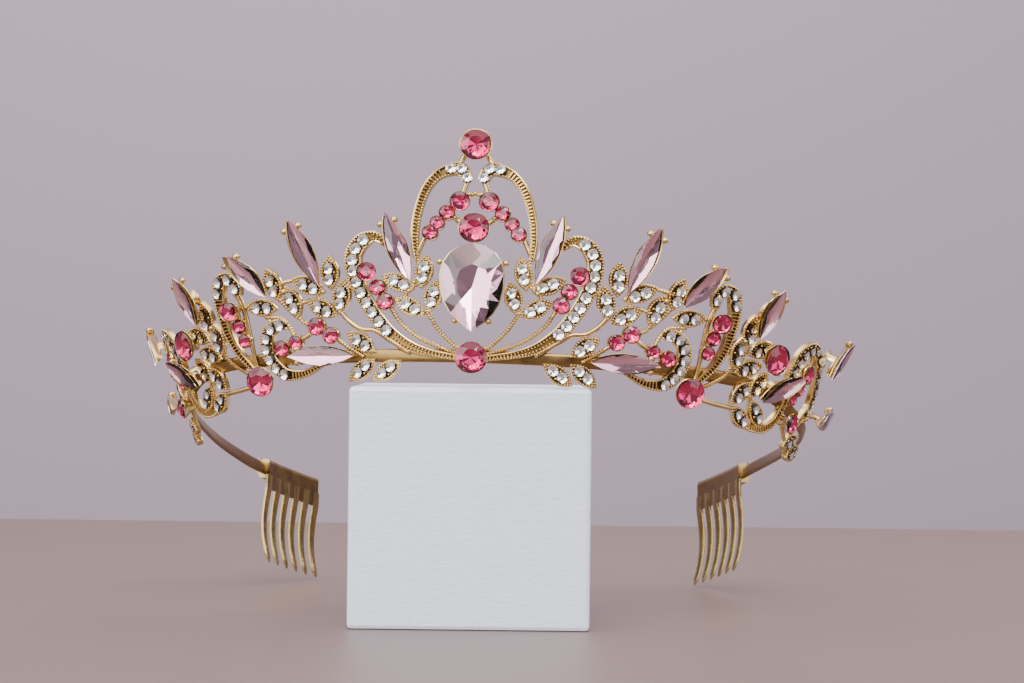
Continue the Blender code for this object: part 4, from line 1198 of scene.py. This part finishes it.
class TIARA_OT_stage(bpy.types.Operator):
    """Set up the table, backdrop, lights and camera"""

    bl_idname = "tiara.stage"
    bl_label = "Studio"

    def execute(self, context):
        colours = context.scene.tiara_colours
        ends = (-STAGE_HALF, STAGE_HALF)
        self.sheet("table", colours.floor, [(x, y, 0.0) for y in (-STAGE_HALF, TABLE_END)
                                            for x in ends])
        self.sheet("backdrop", colours.wall, [(x, WALL_AT, z) for z in (WALL_FOOT, STAGE_HALF)
                                              for x in ends])
        for name, row in LIGHTS.items():
            self.light(name, *row)
        world = bpy.data.worlds.new("studio")
        world.use_nodes = True
        sky = world.node_tree.nodes["Background"]
        sky.inputs["Color"].default_value = linear(SKY)
        sky.inputs["Strength"].default_value = SKY_STRENGTH
        context.scene.world = world
        data = bpy.data.cameras.new("photo_camera")
        data.lens = CAMERA_LENS
        data.sensor_width = SENSOR
        data.clip_start = 0.01
        data.clip_end = 20.0
        camera = bpy.data.objects.new("photo_camera", data)
        camera.location = Vector(CAMERA_PLACE) * MM
        camera.rotation_euler = (math.radians(90), math.radians(CAMERA_ROLL), 0.0)
        context.scene.collection.objects.link(camera)
        context.scene.camera = camera
        return {"FINISHED"}

    def sheet(self, name, colour, corners):
        """A plain sheet on four corners."""
        mesh = bpy.data.meshes.new(name)
        mesh.from_pydata(corners, [], [(0, 1, 3, 2)])
        # Satin paint: an even tone with a soft shine
        mesh.materials.append(new_material(
            name + "_paint", {"Base Color": linear(colour), "Roughness": 0.45}))
        piece = bpy.data.objects.new(name, mesh)
        bpy.context.scene.collection.objects.link(piece)

    def light(self, name, place, aim, size, power, colour):
        """A soft square light that faces a point."""
        data = bpy.data.lights.new(name, "AREA")
        data.size = size
        data.energy = power
        data.color = linear(colour)[:3]
        lamp = bpy.data.objects.new(name, data)
        lamp.location = place
        lamp.rotation_euler = (Vector(aim) - Vector(place)).to_track_quat("-Z", "Y").to_euler()
        bpy.context.scene.collection.objects.link(lamp)


class TIARA_PT_panel(bpy.types.Panel):
    """The tiara's sizes, colours and steps in the sidebar."""

    bl_idname = "TIARA_PT_panel"
    bl_label = "Tiara"
    bl_space_type = "VIEW_3D"
    bl_region_type = "UI"
    bl_category = "Tiara"

    def draw(self, context):
        """List the properties and the operators."""
        for group in (context.scene.tiara_sizes, context.scene.tiara_colours):
            for name in group.__annotations__:
                self.layout.prop(group, name)
        for operator in OPERATORS:
            self.layout.operator(operator.bl_idname)


OPERATORS = (TIARA_OT_band, TIARA_OT_tracery, TIARA_OT_settings, TIARA_OT_clear_stones,
             TIARA_OT_pink_stones, TIARA_OT_rose_stones, TIARA_OT_combs, TIARA_OT_block,
             TIARA_OT_stage)
CLASSES = (TiaraSizes, TiaraColours, *OPERATORS, TIARA_PT_panel)


def register():
    """Register the classes and the scene's properties."""
    for item in CLASSES:
        bpy.utils.register_class(item)
    bpy.types.Scene.tiara_sizes = bpy.props.PointerProperty(type=TiaraSizes)
    bpy.types.Scene.tiara_colours = bpy.props.PointerProperty(type=TiaraColours)


def unregister():
    """Take the classes and the scene's properties away again."""
    del bpy.types.Scene.tiara_colours
    del bpy.types.Scene.tiara_sizes
    for item in reversed(CLASSES):
        bpy.utils.unregister_class(item)


def main():
    """Build everything in order."""
    register()
    for operator in OPERATORS:
        getattr(bpy.ops.tiara, operator.bl_idname.split(".")[1])()


if __name__ == "__main__":
    main()
